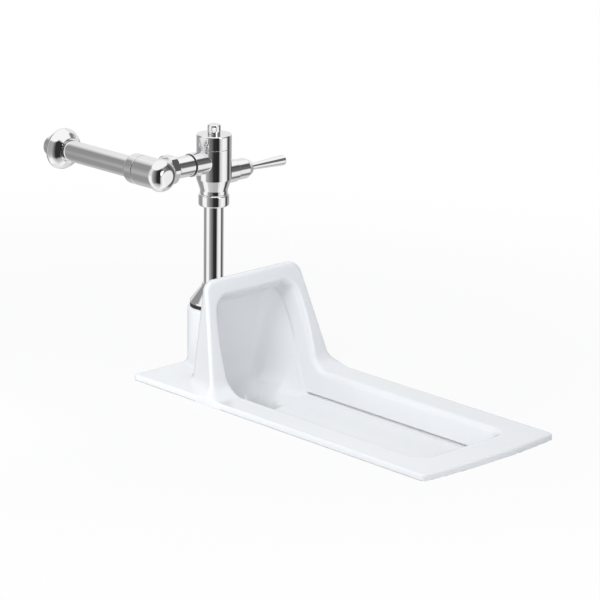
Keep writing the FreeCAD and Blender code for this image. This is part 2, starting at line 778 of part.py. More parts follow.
def make_stop():
    body = new_body("stop_body", *stop_line)
    turn(body, "stop_barrel", "x", [
        (ZERO, supply_mouth),
        (supply_thread_radius, supply_mouth),
        (supply_thread_radius, -s.stop_rear),
        (s.stop_radius, -s.stop_rear),
        (s.stop_radius, stop_front),
        (s.stop_thread_radius, stop_front),
        (s.stop_thread_radius, bonnet_seat),
        (ZERO, bonnet_seat),
    ])
    round_edges(body, "stop_barrel_rounded", ring_edge("x", [
        (s.stop_radius, -s.stop_rear),
        (s.stop_radius, stop_front),
    ]), s.stop_edge_radius)
    outlet_reach = s.stop_radius + s.union_neck
    turn(body, "stop_outlet", "y", cylinder_points(s.union_thread_radius, ZERO, outlet_reach))
    turn(body, "stop_bore", "x", [
        (ZERO, supply_packing_end),
        (supply_hole, supply_packing_end),
        (supply_hole, supply_seat + s.free_gap),
        (s.stop_way_radius, supply_seat + s.free_gap),
        (s.stop_way_radius, -s.stop_seat),
        (s.stop_chamber_radius, -s.stop_seat),
        (s.stop_chamber_radius, bonnet_end),
        (ZERO, bonnet_end),
    ], cut=True)
    bore_reach = outlet_reach + s.union_neck
    turn(body, "stop_outlet_bore", "y", cylinder_points(s.inlet_way_radius, ZERO, bore_reach), cut=True)

    plug_radius = s.stop_chamber_radius - s.fixed_gap
    groove_radius = spindle_hole + s.o_ring_width
    groove_start = bonnet_seat - s.o_ring_width / 2
    groove_end = groove_start + s.o_ring_width
    turned_part("stop_bonnet", "x", [
        (spindle_hole, stop_front),
        (plug_radius, stop_front),
        (plug_radius, bonnet_seat),
        (s.stop_thread_radius, bonnet_seat),
        (s.stop_thread_radius, bonnet_end),
        (spindle_hole, bonnet_end),
        (spindle_hole, groove_end),
        (groove_radius, groove_end),
        (groove_radius, groove_start),
        (spindle_hole, groove_start),
    ], stop_line)
    washer("spindle_o_ring", "x", spindle_hole, groove_radius - s.fixed_gap, groove_start, groove_end,
           stop_line)
    spindle = turned_part("stop_spindle", "x", [
        (ZERO, nose_end),
        (s.spindle_nose_radius, nose_end),
        (s.spindle_nose_radius, stop_front),
        (s.spindle_radius, stop_front),
        (s.spindle_radius, spindle_end),
        (ZERO, spindle_end),
    ], stop_line)
    slot = sketch_on(spindle, "driver_slot_outline", "XZ_Plane")
    slot_foot = spindle_end - s.spindle_slot_depth
    slot_end = spindle_end + s.free_gap
    half_slot = s.spindle_slot / 2
    polygon(slot, [
        (slot_foot, -half_slot),
        (slot_end, -half_slot),
        (slot_end, half_slot),
        (slot_foot, half_slot),
    ])
    pocket = spindle.newObject("PartDesign::Pocket", "driver_slot")
    pocket.Profile = slot
    pocket.SideType = "Symmetric"
    bind(pocket, "Length", s.spindle_radius * 3)
    finish_feature(spindle, pocket)

    nose_hole = s.spindle_nose_radius + s.free_gap
    turned_part("stop_disc", "x", [
        (ZERO, disc_face),
        (s.stop_disc_radius, disc_face),
        (s.stop_disc_radius, disc_back),
        (s.stop_hub_radius, disc_back),
        (s.stop_hub_radius, hub_end),
        (nose_hole, hub_end),
        (nose_hole, disc_face + s.disc_web),
        (ZERO, disc_face + s.disc_web),
    ], stop_line)
    turned_part("stop_washer", "x", cylinder_points(s.stop_disc_radius, stop_washer_face, disc_face),
                stop_line)
    thread_hole = s.stop_thread_radius + s.fixed_gap
    cap_foot = stop_front + s.free_gap
    cap_hollow = spindle_end + s.stop_cap_room
    cap_end = cap_hollow + s.stop_cap_crown
    turned_part("stop_cap", "x", [
        (thread_hole, cap_foot),
        (stop_cap_radius, cap_foot),
        (stop_cap_radius, cap_end),
        (ZERO, cap_end),
        (ZERO, cap_hollow),
        (s.spindle_radius + s.stop_cap_room, cap_hollow),
        (thread_hole, bonnet_end + s.free_gap),
    ], stop_line, rounds=[(stop_cap_radius, cap_end)], radius=s.stop_dome_radius)


def make_supply():
    thread_hole = supply_thread_radius + s.fixed_gap
    nut_radius = thread_hole + s.supply_nut_wall
    nut_front = -(s.stop_rear + s.free_gap)
    turned_part("supply_nut", "x", [
        (supply_hole, supply_nut_end),
        (nut_radius, supply_nut_end),
        (nut_radius, nut_front),
        (thread_hole, nut_front),
        (thread_hole, supply_packing_end),
        (supply_hole, supply_packing_end),
    ], stop_line, rounds=[(nut_radius, supply_nut_end)], radius=s.supply_nut_edge_radius)
    washer("supply_packing", "x", supply_hole, supply_thread_radius, supply_packing_end, supply_mouth,
           stop_line)
    tail_end = wall_face - s.wall_tail
    tail_radius = s.supply_radius - s.tail_thread_depth
    turned_part("supply_pipe", "x", [
        (s.supply_radius - s.supply_wall, supply_seat),
        (s.supply_radius, supply_seat),
        (s.supply_radius, wall_face),
        (tail_radius, wall_face),
        (tail_radius, tail_end),
        (s.supply_radius - s.supply_wall, tail_end),
    ], stop_line)
    collar_radius = supply_hole + s.flange_collar
    edge = wall_face + s.flange_edge
    shoulder = wall_face + s.flange_shoulder_depth
    front = wall_face + s.flange_depth
    turned_part("wall_flange", "x", [
        (s.flange_radius - s.flange_wall, wall_face),
        (s.flange_radius, wall_face),
        (s.flange_radius, edge),
        (s.flange_shoulder_radius, shoulder),
        (collar_radius, front),
        (supply_hole, front),
        (supply_hole, front - s.flange_wall),
        (s.flange_shoulder_radius - s.flange_wall, shoulder - s.flange_wall),
    ], stop_line, rounds=[(s.flange_shoulder_radius, shoulder)], radius=s.flange_dome_radius)


def make_handle():
    turned_part("handle_bushing", "y", [
        (plunger_hole, packing_end),
        (s.packing_pocket_radius, packing_end),
        (s.packing_pocket_radius, bushing_seat),
        (s.bushing_radius, bushing_seat),
        (s.bushing_radius, s.handle_boss_reach),
        (s.bushing_thread_radius, s.handle_boss_reach),
        (s.bushing_thread_radius, bushing_end),
        (pusher_room_radius, bushing_end),
        (pusher_room_radius, plunger_head_foot - s.free_gap),
        (s.spring_pocket_radius, plunger_head_foot - s.free_gap),
        (s.spring_pocket_radius, spring_seat),
        (plunger_hole, spring_seat),
    ], handle_line)
    washer("handle_packing", "y", plunger_hole, s.packing_pocket_radius - s.fixed_gap, bushing_seat,
           packing_end, handle_line)
    turned_part("plunger", "y", [
        (ZERO, s.relief_stem_radius + s.free_gap),
        (s.plunger_radius, s.relief_stem_radius + s.free_gap),
        (s.plunger_radius, plunger_head_foot),
        (s.plunger_head_radius, plunger_head_foot),
        (s.plunger_head_radius, plunger_head_face),
        (ZERO, plunger_head_face),
    ], handle_line)
    thread_hole = s.bushing_thread_radius + s.fixed_gap
    cap_radius = thread_hole + s.handle_cap_wall
    cap_foot = s.handle_boss_reach + s.free_gap
    shoulder = s.handle_boss_reach + s.handle_cap_shoulder
    nose = s.handle_boss_reach + s.handle_cap_length
    nose_radius = s.handle_opening_radius + s.handle_cap_nose_wall
    turned_part("handle_cap", "y", [
        (thread_hole, cap_foot),
        (cap_radius, cap_foot),
        (cap_radius, shoulder),
        (nose_radius, nose),
        (s.handle_opening_radius, nose),
        (thread_hole, shoulder),
    ], handle_line, rounds=[(cap_radius, shoulder), (nose_radius, nose)], radius=s.handle_cap_edge_radius)
    lever = turned_part("lever", "y", [
        (ZERO, pusher_face),
        (s.pusher_radius, pusher_face),
        (s.pusher_radius, pusher_back),
        (s.lever_neck_radius, pusher_back),
        (s.lever_neck_radius, nose),
        (s.lever_end_radius, s.lever_reach),
        (ZERO, s.lever_reach),
    ], handle_line, rounds=[(s.lever_end_radius, s.lever_reach)], radius=s.lever_edge_radius)
    ball = lever.newObject("PartDesign::AdditiveSphere", "ball")
    bind(ball, "Radius", s.ball_radius)
    bind(ball, "Placement.Base.y", ball_centre)
    finish_feature(lever, ball)


def make_spring():
    """The plunger's return spring, wound about the handle axis."""
    body = new_body("plunger_spring", *handle_line)
    wire_radius = s.spring_wire / 2
    end_room = wire_radius + s.free_gap
    sketch = sketch_on(body, "spring_wire_outline", "YZ_Plane")
    circle(sketch, wire_radius, spring_seat + end_room, s.spring_mean_radius)
    coil = body.newObject("PartDesign::AdditiveHelix", "spring_coil")
    coil.Profile = sketch
    coil.ReferenceAxis = (sketch, ["H_Axis"])
    coil.Mode = "height-turns-angle"
    bind(coil, "Height", s.spring_length - end_room * 2)
    bind(coil, "Turns", s.spring_turns)
    finish_feature(body, coil)


def arc_outline(sketch, points, arcs):
    """Lines through the points; an arc takes the place of a line where arcs gives its centre and radius."""
    corners = [FreeCAD.Vector(x.number, y.number, 0) for x, y in points]
    normal = FreeCAD.Vector(0, 0, 1)
    count = len(points)
    pieces = []
    for index, (start, end) in enumerate(zip(corners, corners[1:] + corners[:1])):
        if index in arcs:
            (x, y), radius = arcs[index]
            centre = FreeCAD.Vector(x.number, y.number, 0)
            angles = [math.atan2(point.y - centre.y, point.x - centre.x) for point in (start, end)]
            arc = Part.ArcOfCircle(Part.Circle(centre, normal, radius.number), *angles)
            pieces.append(sketch.addGeometry(arc, False))
        else:
            pieces.append(sketch.addGeometry(Part.LineSegment(start, end), False))
    for index, piece in enumerate(pieces):
        sketch.addConstraint(Sketcher.Constraint("Coincident", piece, 2, pieces[(index + 1) % count], 1))
        pin_point(sketch, piece, 1, *points[index])
        if index in arcs:
            radius = arcs[index][1]
            number = sketch.addConstraint(Sketcher.Constraint("Radius", piece, radius.number))
            bind(sketch, f"Constraints[{number}]", radius)


def rounded_box(body, name, x_low, x_high, half_width, radius, height=ZERO):
    """A sketch of a rectangle about the X axis, with rounded corners."""
    sketch = sketch_on(body, name, "XY_Plane", shift=(ZERO, ZERO, height))
    inner_low = x_low + radius
    inner_high = x_high - radius
    inner_half = half_width - radius
    arc_outline(sketch, [
        (inner_low, -half_width),
        (inner_high, -half_width),
        (x_high, -inner_half),
        (x_high, inner_half),
        (inner_high, half_width),
        (inner_low, half_width),
        (x_low, inner_half),
        (x_low, -inner_half),
    ], {
        1: ((inner_high, -inner_half), radius),
        3: ((inner_high, inner_half), radius),
        5: ((inner_low, inner_half), radius),
        7: ((inner_low, -inner_half), radius),
    })
    return sketch


def extrude(body, name, kind, sketch, length, down=False, both_ways=False):
    """Pads or pockets a sketch; a pocket runs down from its sketch unless told both ways."""
    feature = body.newObject(kind, name)
    feature.Profile = sketch
    bind(feature, "Length", length)
    if both_ways:
        feature.SideType = "Symmetric"
    feature.Reversed = down
    return finish_feature(body, feature)


def loft(body, name, kind, sections):
    feature = body.newObject(kind, name)
    feature.Profile = sections[0]
    feature.Sections = sections[1:]
    feature.Ruled = True
    return finish_feature(body, feature)


def upright_section(body, name, x, lean, lean_sign, foot, foot_half_width, top, top_half_width, radius):
    """A section of the hood, round at its top corners, on a plane that leans back (-1) or forward (1)."""
    sketch = sketch_on(body, name, "YZ_Plane", shift=(ZERO, ZERO, x), tilt=lean, tilt_sign=lean_sign)
    foot_rise = foot / cosine(lean)
    top_rise = top / cosine(lean)
    rise = top_rise - foot_rise
    spread = foot_half_width - top_half_width
    side = root(rise * rise + spread * spread)
    cut_off = radius * (side - spread) / rise
    shoulder = top_half_width + cut_off * spread / side
    shoulder_rise = top_rise - cut_off * rise / side
    flat = top_half_width - cut_off
    centre_rise = top_rise - radius
    arc_outline(sketch, [
        (-foot_half_width, foot_rise),
        (foot_half_width, foot_rise),
        (shoulder, shoulder_rise),
        (flat, top_rise),
        (-flat, top_rise),
        (-shoulder, shoulder_rise),
    ], {2: ((flat, centre_rise), radius), 4: ((-flat, centre_rise), radius)})
    return sketch


def ends(edge):
    return edge.Vertexes[0].Point, edge.Vertexes[-1].Point


def on_leaning_plane(x, lean, lean_sign, least_height):
    """A test for edges that lie on a leaning plane, above a height."""
    slope = lean_sign * math.tan(math.radians(lean.number))

    def wanted(edge):
        middle = edge.valueAt((edge.FirstParameter + edge.LastParameter) / 2)
        points = [*ends(edge), middle]
        if middle.z < least_height:
            return False
        return all(abs(point.x - x.number - slope * point.z) < 0.05 for point in points)

    return wanted


def make_rim(body):
    half = s.rim_width / 2
    front = s.rim_length - s.rim_bow
    bow_radius = (half * half + s.rim_bow * s.rim_bow) / (s.rim_bow * 2)
    sketch = sketch_on(body, "rim_outline", "XY_Plane")
    corners = [(front, half), (ZERO, half), (ZERO, -half), (front, -half)]
    points = [FreeCAD.Vector(x.number, y.number, 0) for x, y in corners]
    lines = []
    for start, end in zip(points, points[1:]):
        lines.append(sketch.addGeometry(Part.LineSegment(start, end), False))
    centre = FreeCAD.Vector(s.rim_length.number - bow_radius.number, 0, 0)
    spread = math.asin(half.number / bow_radius.number)
    bow_circle = Part.Circle(centre, FreeCAD.Vector(0, 0, 1), bow_radius.number)
    bow = sketch.addGeometry(Part.ArcOfCircle(bow_circle, -spread, spread), False)
    sketch.addConstraint([
        Sketcher.Constraint("Coincident", lines[0], 2, lines[1], 1),
        Sketcher.Constraint("Coincident", lines[1], 2, lines[2], 1),
        Sketcher.Constraint("Coincident", lines[2], 2, bow, 1),
        Sketcher.Constraint("Coincident", bow, 2, lines[0], 1),
    ])
    for line, (x, y) in zip(lines, corners):
        pin_point(sketch, line, 1, x, y)
    pin_point(sketch, lines[2], 2, *corners[3])
    number = sketch.addConstraint(Sketcher.Constraint("Radius", bow, bow_radius.number))
    bind(sketch, f"Constraints[{number}]", bow_radius)
    extrude(body, "rim", "PartDesign::Pad", sketch, s.rim_thickness)

    def rim_corner(edge):
        low, high = ends(edge)
        upright_edge = abs(low.x - high.x) < 0.01 and abs(low.y - high.y) < 0.01
        return upright_edge and abs(abs(low.y) - half.number) < 0.01

    def rim_top_edge(edge):
        middle = edge.valueAt((edge.FirstParameter + edge.LastParameter) / 2)
        at_top = all(abs(point.z - s.rim_thickness.number) < 0.01 for point in (*ends(edge), middle))
        near_side = abs(middle.y) > half.number - s.rim_corner_radius.number
        near_end = not s.rim_corner_radius.number < middle.x < front.number
        return at_top and (near_side or near_end)

    round_edges(body, "rim_corners", rim_corner, s.rim_corner_radius)
    round_edges(body, "rim_edge", rim_top_edge, s.rim_edge_radius)


def make_pan():
    body = new_body("pan")
    front_lean = (s.hood_front_lean, -1)
    rear_lean = (s.hood_rear_lean, 1)
    hood_face = upright_section(body, "hood_face", s.hood_front, *front_lean, ZERO, s.hood_front_half_width,
                                s.hood_height, s.hood_front_top_half_width, s.hood_corner_radius)
    hood_back = upright_section(body, "hood_back", s.hood_rear, *rear_lean, ZERO, s.hood_rear_half_width,
                                s.hood_height, s.hood_rear_top_half_width, s.hood_corner_radius)
    loft(body, "hood", "PartDesign::AdditiveLoft", [hood_face, hood_back])
    round_edges(body, "hood_face_edge", on_leaning_plane(s.hood_front, *front_lean, 1), s.hood_edge_radius)
    round_edges(body, "hood_back_edge", on_leaning_plane(s.hood_rear, *rear_lean, 1), s.hood_edge_radius)
    make_rim(body)

    horn = sketch_on(body, "horn_outline", "XY_Plane")
    circle(horn, s.horn_radius, s.axis_setback)
    extrude(body, "horn", "PartDesign::Pad", horn, s.horn_height)
    make_shell(body)
    make_trough(body)
    make_hollows(body)
    soften_trough(body)


def make_shell(body):
    """The outside of the basin, the well and the trap, below the floor."""
    shell = rounded_box(body, "shell_outline", s.shell_rear, shell_front, shell_half_width,
                        s.shell_corner_radius, s.rim_thickness / 2)
    extrude(body, "shell", "PartDesign::Pad", shell, s.rim_thickness / 2 - low_underside, down=True)
    under_trough = sketch_on(body, "under_trough_outline", "XZ_Plane")
    polygon(under_trough, [
        (lip_back, low_underside),
        (ramp_foot, shell_underside),
        (shell_front, -s.shell_wall),
        (shell_front + s.shell_wall, -s.shell_wall),
        (shell_front + s.shell_wall, low_underside - s.shell_wall),
        (lip_back, low_underside - s.shell_wall),
    ])
    under_width = (shell_half_width + s.shell_wall) * 2
    extrude(body, "under_trough", "PartDesign::Pocket", under_trough, under_width, both_ways=True)
    well = rounded_box(body, "well_outline", s.well_setback - s.well_half_length,
                       s.well_setback + s.well_half_length, s.well_half_width, s.well_corner_radius)
    extrude(body, "well", "PartDesign::Pad", well, s.well_depth, down=True)
    trap_pipe(body, "trap", "PartDesign::AdditivePipe", s.trap_radius)
    spigot_top = s.outlet_spigot_length - s.outlet_drop
    outlet_foot = -s.outlet_drop - s.spigot_reduction
    turn(body, "outlet_spigot", "z", [
        (s.trap_radius - s.spigot_reduction, outlet_foot),
        (s.trap_radius + s.spigot_reduction, outlet_foot),
        (s.trap_radius + s.spigot_reduction, spigot_top),
        (s.trap_radius - s.spigot_reduction, spigot_top),
    ], cut=True, setback=s.well_setback + s.trap_bend_radius * 4)


def trap_pipe(body, name, kind, radius):
    """Sweeps a circle along the trap: down from the well, up over the weir, and down to the outlet."""
    bend = s.trap_bend_radius
    way = s.trap_radius - s.trap_wall
    start = s.shell_wall - s.well_depth
    crown = -s.trap_top
    dip = -(s.trap_top - bend * 2 + way * 2 + s.water_seal)
    x_down = s.well_setback
    x_up = x_down + bend * 2
    x_out = x_up + bend * 2
    path = sketch_on(body, f"{name}_path", "XZ_Plane")
    stations = [
        [(x_down, start), (x_down, dip)],
        [(x_up, dip), (x_up, crown)],
        [(x_out, crown), (x_out, -s.outlet_drop)],
    ]
    runs = []
    for run in stations:
        low, high = (FreeCAD.Vector(x.number, z.number, 0) for x, z in run)
        line = path.addGeometry(Part.LineSegment(low, high), False)
        for end, (x, z) in enumerate(run, start=1):
            pin_point(path, line, end, x, z)
        runs.append(line)
    normal = FreeCAD.Vector(0, 0, 1)
    below = Part.Circle(FreeCAD.Vector((x_down + bend).number, dip.number, 0), normal, bend.number)
    above = Part.Circle(FreeCAD.Vector((x_up + bend).number, crown.number, 0), normal, bend.number)
    lower = path.addGeometry(Part.ArcOfCircle(below, math.pi, 2 * math.pi), False)
    upper = path.addGeometry(Part.ArcOfCircle(above, 0, math.pi), False)
    path.addConstraint([
        Sketcher.Constraint("Tangent", runs[0], 2, lower, 1),
        Sketcher.Constraint("Coincident", lower, 2, runs[1], 1),
        Sketcher.Constraint("Coincident", upper, 2, runs[1], 2),
        Sketcher.Constraint("Tangent", upper, 1, runs[2], 1),
    ])
    ring = sketch_on(body, f"{name}_ring", "XY_Plane", shift=(ZERO, ZERO, start))
    circle(ring, radius, x_down)
    feature = body.newObject(kind, name)
    feature.Profile = ring
    feature.Spine = path
    finish_feature(body, feature)


def make_trough(body):
    """The trough: a level cut with round front corners, a fall towards the well, and a ramp at the front."""
    radius = s.trough_corner_radius
    half = s.trough_half_width
    sketch = sketch_on(body, "trough_outline", "XY_Plane", shift=(ZERO, ZERO, s.rim_thickness))
    arc_outline(sketch, [
        (trough_rear, -half),
        (trough_front - radius, -half),
        (trough_front, radius - half),
        (trough_front, half - radius),
        (trough_front - radius, half),
        (trough_rear, half),
    ], {
        1: ((trough_front - radius, radius - half), radius),
        3: ((trough_front - radius, half - radius), radius),
    })
    extrude(body, "trough", "PartDesign::Pocket", sketch, s.trough_depth)
    fall = sketch_on(body, "fall_outline", "XZ_Plane")
    polygon(fall, [
        (lip_back, trough_low_floor),
        (ramp_foot, trough_floor),
        (lip_back, trough_floor),
    ])
    extrude(body, "fall", "PartDesign::Pocket", fall, half * 2, both_ways=True)
    ramp_top = s.rim_thickness - s.ramp_drop
    half_wall = s.shell_wall / 2
    ramp = sketch_on(body, "ramp_outline", "XZ_Plane")
    polygon(ramp, [
        (ramp_foot, trough_floor),
        (trough_front, ramp_top),
        (trough_front + half_wall, ramp_top),
        (trough_front + half_wall, -half_wall),
        (ramp_foot, trough_floor - half_wall),
    ])
    extrude(body, "ramp", "PartDesign::Pad", ramp, half * 2 + s.side_wall, both_ways=True)


def make_hollows(body):
    """The mouth and recess of the hood, the water channels, the well and the trap's way."""
    lean = s.hood_front_lean
    mouth_top = s.mouth_height - s.mouth_taper
    mouth_in_half_width = s.mouth_top_half_width - s.mouth_taper
    mouth_out = upright_section(body, "mouth_out", s.hood_front, lean, -1, s.rim_thickness,
                                s.trough_half_width, s.mouth_height, s.mouth_top_half_width,
                                s.mouth_corner_radius)
    mouth_in = upright_section(body, "mouth_in", lip_back, lean, -1, s.rim_thickness, s.trough_half_width,
                               mouth_top, mouth_in_half_width, s.mouth_corner_radius)
    loft(body, "mouth", "PartDesign::SubtractiveLoft", [mouth_out, mouth_in])
    recess_in = s.hood_rear + s.recess_wall / cosine(s.hood_rear_lean)
    recess_face = upright_section(body, "recess_face", lip_back, lean, -1, trough_low_floor,
                                  s.trough_half_width + s.lip_overhang, mouth_top,
                                  mouth_in_half_width + s.lip_overhang, s.recess_corner_radius)
    recess_back = upright_section(body, "recess_back", recess_in, s.hood_rear_lean, 1, trough_low_floor,
                                  s.recess_rear_half_width, mouth_top, s.recess_rear_half_width,
                                  s.recess_corner_radius)
    loft(body, "recess", "PartDesign::SubtractiveLoft", [recess_face, recess_back])

    channel_start = s.trough_half_width + s.side_wall
    channel_end = channel_start + s.channel_width
    channel_depth = s.trough_depth - s.rim_thickness - s.channel_roof
    channel_rear = s.axis_setback - s.horn_drop_radius
    channel = sketch_on(body, "channel_outline", "XY_Plane", shift=(ZERO, ZERO, -s.channel_roof))
    polygon(channel, [
        (channel_rear, -channel_end),
        (ramp_foot, -channel_end),
        (ramp_foot, -channel_start),
        (s.axis_setback + s.horn_drop_radius, -channel_start),
        (s.axis_setback + s.horn_drop_radius, channel_start),
        (ramp_foot, channel_start),
        (ramp_foot, channel_end),
        (channel_rear, channel_end),
    ])
    extrude(body, "channel", "PartDesign::Pocket", channel, channel_depth)
    gap_top = trough_floor + s.gap_height
    for side, sign in (("far", 1), ("near", -1)):
        gap = sketch_on(body, f"{side}_gap_outline", "XY_Plane", shift=(ZERO, ZERO, gap_top))
        polygon(gap, [
            (s.hood_front, (s.trough_half_width - s.gap_height) * sign),
            (ramp_foot, (s.trough_half_width - s.gap_height) * sign),
            (ramp_foot, channel_end * sign),
            (s.hood_front, channel_end * sign),
        ])
        extrude(body, f"{side}_gap", "PartDesign::Pocket", gap, s.gap_height)

    turn(body, "horn_bore", "z", [
        (ZERO, -s.channel_roof - s.horn_drop_radius),
        (s.horn_drop_radius, -s.channel_roof - s.horn_drop_radius),
        (s.horn_drop_radius, s.horn_floor),
        (s.locknut_radius + s.locknut_room, s.horn_floor),
        (s.locknut_radius + s.locknut_room, roof_underside),
        (spud_hole, roof_underside),
        (spud_hole, gasket_top),
        (ZERO, gasket_top),
    ], cut=True, setback=s.axis_setback)
    well = rounded_box(body, "well_way_outline", s.well_setback - s.well_half_length + s.shell_wall,
                       s.well_setback + s.well_half_length - s.shell_wall,
                       s.well_half_width - s.shell_wall, s.well_corner_radius - s.shell_wall, trough_floor)
    extrude(body, "well_way", "PartDesign::Pocket", well, trough_floor + s.well_depth - s.shell_wall)
    trap_pipe(body, "trap_way", "PartDesign::SubtractivePipe", s.trap_radius - s.trap_wall)


def soften_trough(body):
    """Rounds the top edge of the trough."""

    def trough_edge(edge):
        middle = edge.valueAt((edge.FirstParameter + edge.LastParameter) / 2)
        at_top = all(abs(point.z - s.rim_thickness.number) < 0.01 for point in (*ends(edge), middle))
        inside = abs(middle.y) < s.trough_half_width.number + 0.01 and middle.x < trough_front.number + 0.01
        return at_top and inside and middle.x > s.hood_front.number

    round_edges(body, "trough_edge", trough_edge, s.trough_edge_radius)


make_pan()
make_spud()
make_flush_pipe()
make_valve_body()
make_valve_insides()
make_top_cap()
make_inlet()
make_stop()
make_supply()
make_handle()
make_spring()
doc.recompute()

for item in doc.Objects:
    if "Invalid" in item.State or "Error" in item.State:
        raise RuntimeError(f"{item.Label} did not build: {item.State}")
for part in parts:
    if part.Shape.isNull() or not part.Shape.isValid():
        raise RuntimeError(f"{part.Label} has no valid shape")

os.makedirs("parts", exist_ok=True)
for part in parts:
    part.Shape.exportStep(f"parts/{part.Label}.step")
    print(part.Label, len(part.Shape.Solids), round(part.Shape.Volume, 1))
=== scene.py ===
"""Looks of the squat toilet: the glazed china pan as one smooth casting, and the chromed flush fittings."""
import json
import math

import bpy
import numpy as np
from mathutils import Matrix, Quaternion, Vector


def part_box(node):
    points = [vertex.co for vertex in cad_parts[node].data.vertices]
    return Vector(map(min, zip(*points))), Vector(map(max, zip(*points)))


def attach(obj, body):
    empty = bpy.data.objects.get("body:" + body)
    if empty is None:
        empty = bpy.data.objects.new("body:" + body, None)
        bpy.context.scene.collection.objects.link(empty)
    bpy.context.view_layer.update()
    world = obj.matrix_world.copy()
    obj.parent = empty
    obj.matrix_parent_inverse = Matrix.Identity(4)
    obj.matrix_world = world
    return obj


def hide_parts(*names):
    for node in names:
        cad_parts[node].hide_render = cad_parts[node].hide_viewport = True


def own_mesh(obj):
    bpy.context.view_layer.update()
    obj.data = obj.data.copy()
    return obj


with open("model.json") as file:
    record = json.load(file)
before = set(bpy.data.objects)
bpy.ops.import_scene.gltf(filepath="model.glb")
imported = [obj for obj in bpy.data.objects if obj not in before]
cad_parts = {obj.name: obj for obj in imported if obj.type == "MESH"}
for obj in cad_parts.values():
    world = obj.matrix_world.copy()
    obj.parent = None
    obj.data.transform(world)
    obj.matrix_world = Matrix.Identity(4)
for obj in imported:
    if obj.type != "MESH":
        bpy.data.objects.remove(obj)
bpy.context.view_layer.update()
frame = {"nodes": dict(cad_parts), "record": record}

MM = 0.001

# View of the object: where the camera aims, in metres, and how it is turned
VIEW_AIM = Vector((0.0923, 0.1376, 0.0995))
VIEW_DISTANCE = 4.6925
VIEW_AZIMUTH = math.radians(46.04)
VIEW_ELEVATION = math.radians(16.28)
VIEW_ROLL = math.radians(0.77)
LENS_MM = 171.93
SENSOR_MM = 36.0
VIEW_END = 100.0

# The studio: its walls below and above eye level, by degrees from its front to the right, and its ceiling
AMBIENT_COLOUR = (0.93, 0.96, 1.0)
AMBIENT = 0.51
STUDIO_TURN = math.radians(43.96)
LOW_WALLS = (
    (-180, 0.6), (-150, 0.5), (-130, 0.33), (-98, 0.31), (-84, 1.0), (-58, 1.0), (-45, 0.4), (-14, 0.16),
    (2, 0.03), (32, 0.02), (48, 0.75), (66, 1.0), (90, 0.9), (102, 0.1), (114, 0.05), (130, 0.4), (180, 0.6),
)
HIGH_WALLS = (
    (-180, 0.85), (-150, 0.85), (-132, 0.3), (-98, 0.3), (-84, 0.8), (-58, 0.8), (-45, 0.4), (-14, 0.16),
    (2, 0.03), (32, 0.02), (60, 0.3), (84, 0.15), (98, 0.08), (120, 0.2), (146, 0.85), (180, 0.85),
)
EYE_LEVEL = ((-1.0, 0.0), (-0.1, 0.0), (0.1, 1.0), (1.0, 1.0))
CEILING = ((-1.0, 0.8), (-0.8, 0.5), (-0.6, 0.0), (0.6, 0.0), (0.72, 1.0), (1.0, 1.0))

# The floor, in metres: how white it looks near the object, and from where to where it turns quite white
FLOOR_WHITE = 0.9
FLOOR_FADE = (0.5, 1.3)
FLOOR_REACH = 6.0
FLOOR_GREY = 0.75
FLOOR_ROUGH = 0.9

# Lamps: name, place and aim in metres, size in metres, power in watts, and whether mirrors show it
LAMPS = (
    ("left", (-0.05, -0.62, 0.07), (0.1, -0.1, 0.07), 0.12, 0.5, False),
    ("overhead", (0.2, -0.15, 0.75), (0.2, -0.15, 0), 0.5, 0.6, False),
    ("back", (-1.1, 1.6, 0.6), (0.2, 0, 0.05), 1.0, 10, False),
    ("key", (0.72, -1.90, 1.74), (0.15, 0, 0.05), 1.4, 30, False),
    ("front", (2.65, 0, 0.78), (0.15, 0, 0.05), 0.8, 6.5, True),
)

# Finishes: the usual range of noise, a mix node's colour sockets, and the soft edges of chromed pieces
NOISE_RANGE = (0.3, 0.7)
MIX_COLOURS = (6, 7)
MIX_RESULT = 2
GLAZE_IOR = 1.52
EDGE_RADIUS = 0.0008
EDGE_SAMPLES = 6

# Pan sizes in millimetres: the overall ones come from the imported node
pan_low, pan_high = (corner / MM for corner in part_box("pan"))
pipe_low, pipe_high = (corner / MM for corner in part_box("flush_pipe"))
RIM_LENGTH = pan_high.x
RIM_HALF = pan_high.y
RIM_BOW = 9.0
RIM_THICK = 10.0
RIM_CORNER = 7.0
RIM_EDGE = 4.0

# The hood's outside: halves at its foot and top
HOOD_TOP = pan_high.z
HOOD_FRONT = 181.0
HOOD_REAR = 58.0
FRONT_LEAN = math.tan(math.radians(16.7))
REAR_LEAN = math.tan(math.radians(11.5))
HOOD_FRONT_HALF = (135.0, 102.0)
HOOD_REAR_HALF = (78.0, 87.0)
HOOD_SIDE_REACH = 0.5
HOOD_SHOULDER = 18.0
HOOD_EDGE = 6.5
HOOD_BACK_EDGE = 32.0
HOOD_FOOT = (7.0, 26.0)

# The horn that carries the flush pipe
HORN_X = (pipe_low.x + pipe_high.x) / 2
HORN_RADIUS = 42.0
HORN_TOP = 105.0
HORN_EDGE = 5.0
HORN_VALLEY = 46.0

# The mouth, its lip, the recess behind it and the bowl at its foot
MOUTH_TOP = 153.5
MOUTH_HALF = (89.0, 81.0)
MOUTH_BULGE = 6.0
MOUTH_CORNER = 19.0
MOUTH_TAPER = 7.0
LIP_DEPTH = 31.3
LIP_BACK = HOOD_FRONT - LIP_DEPTH
LIP_STEP = 10.0
LIP_TOP_STEP = 3.0
LIP_RUN = 7.0
MOUTH_EASE = 24.0
RECESS_CURVE = 1.05
RECESS_WALL = 15.0
RECESS_LEAST = 14.0
RECESS_REAR_HALF = 60.0
RECESS_CORNER = 18.0
RECESS_TOP_CORNER = 16.0
BOWL_CORNER = 66.0
BOWL_POWER = 2.6

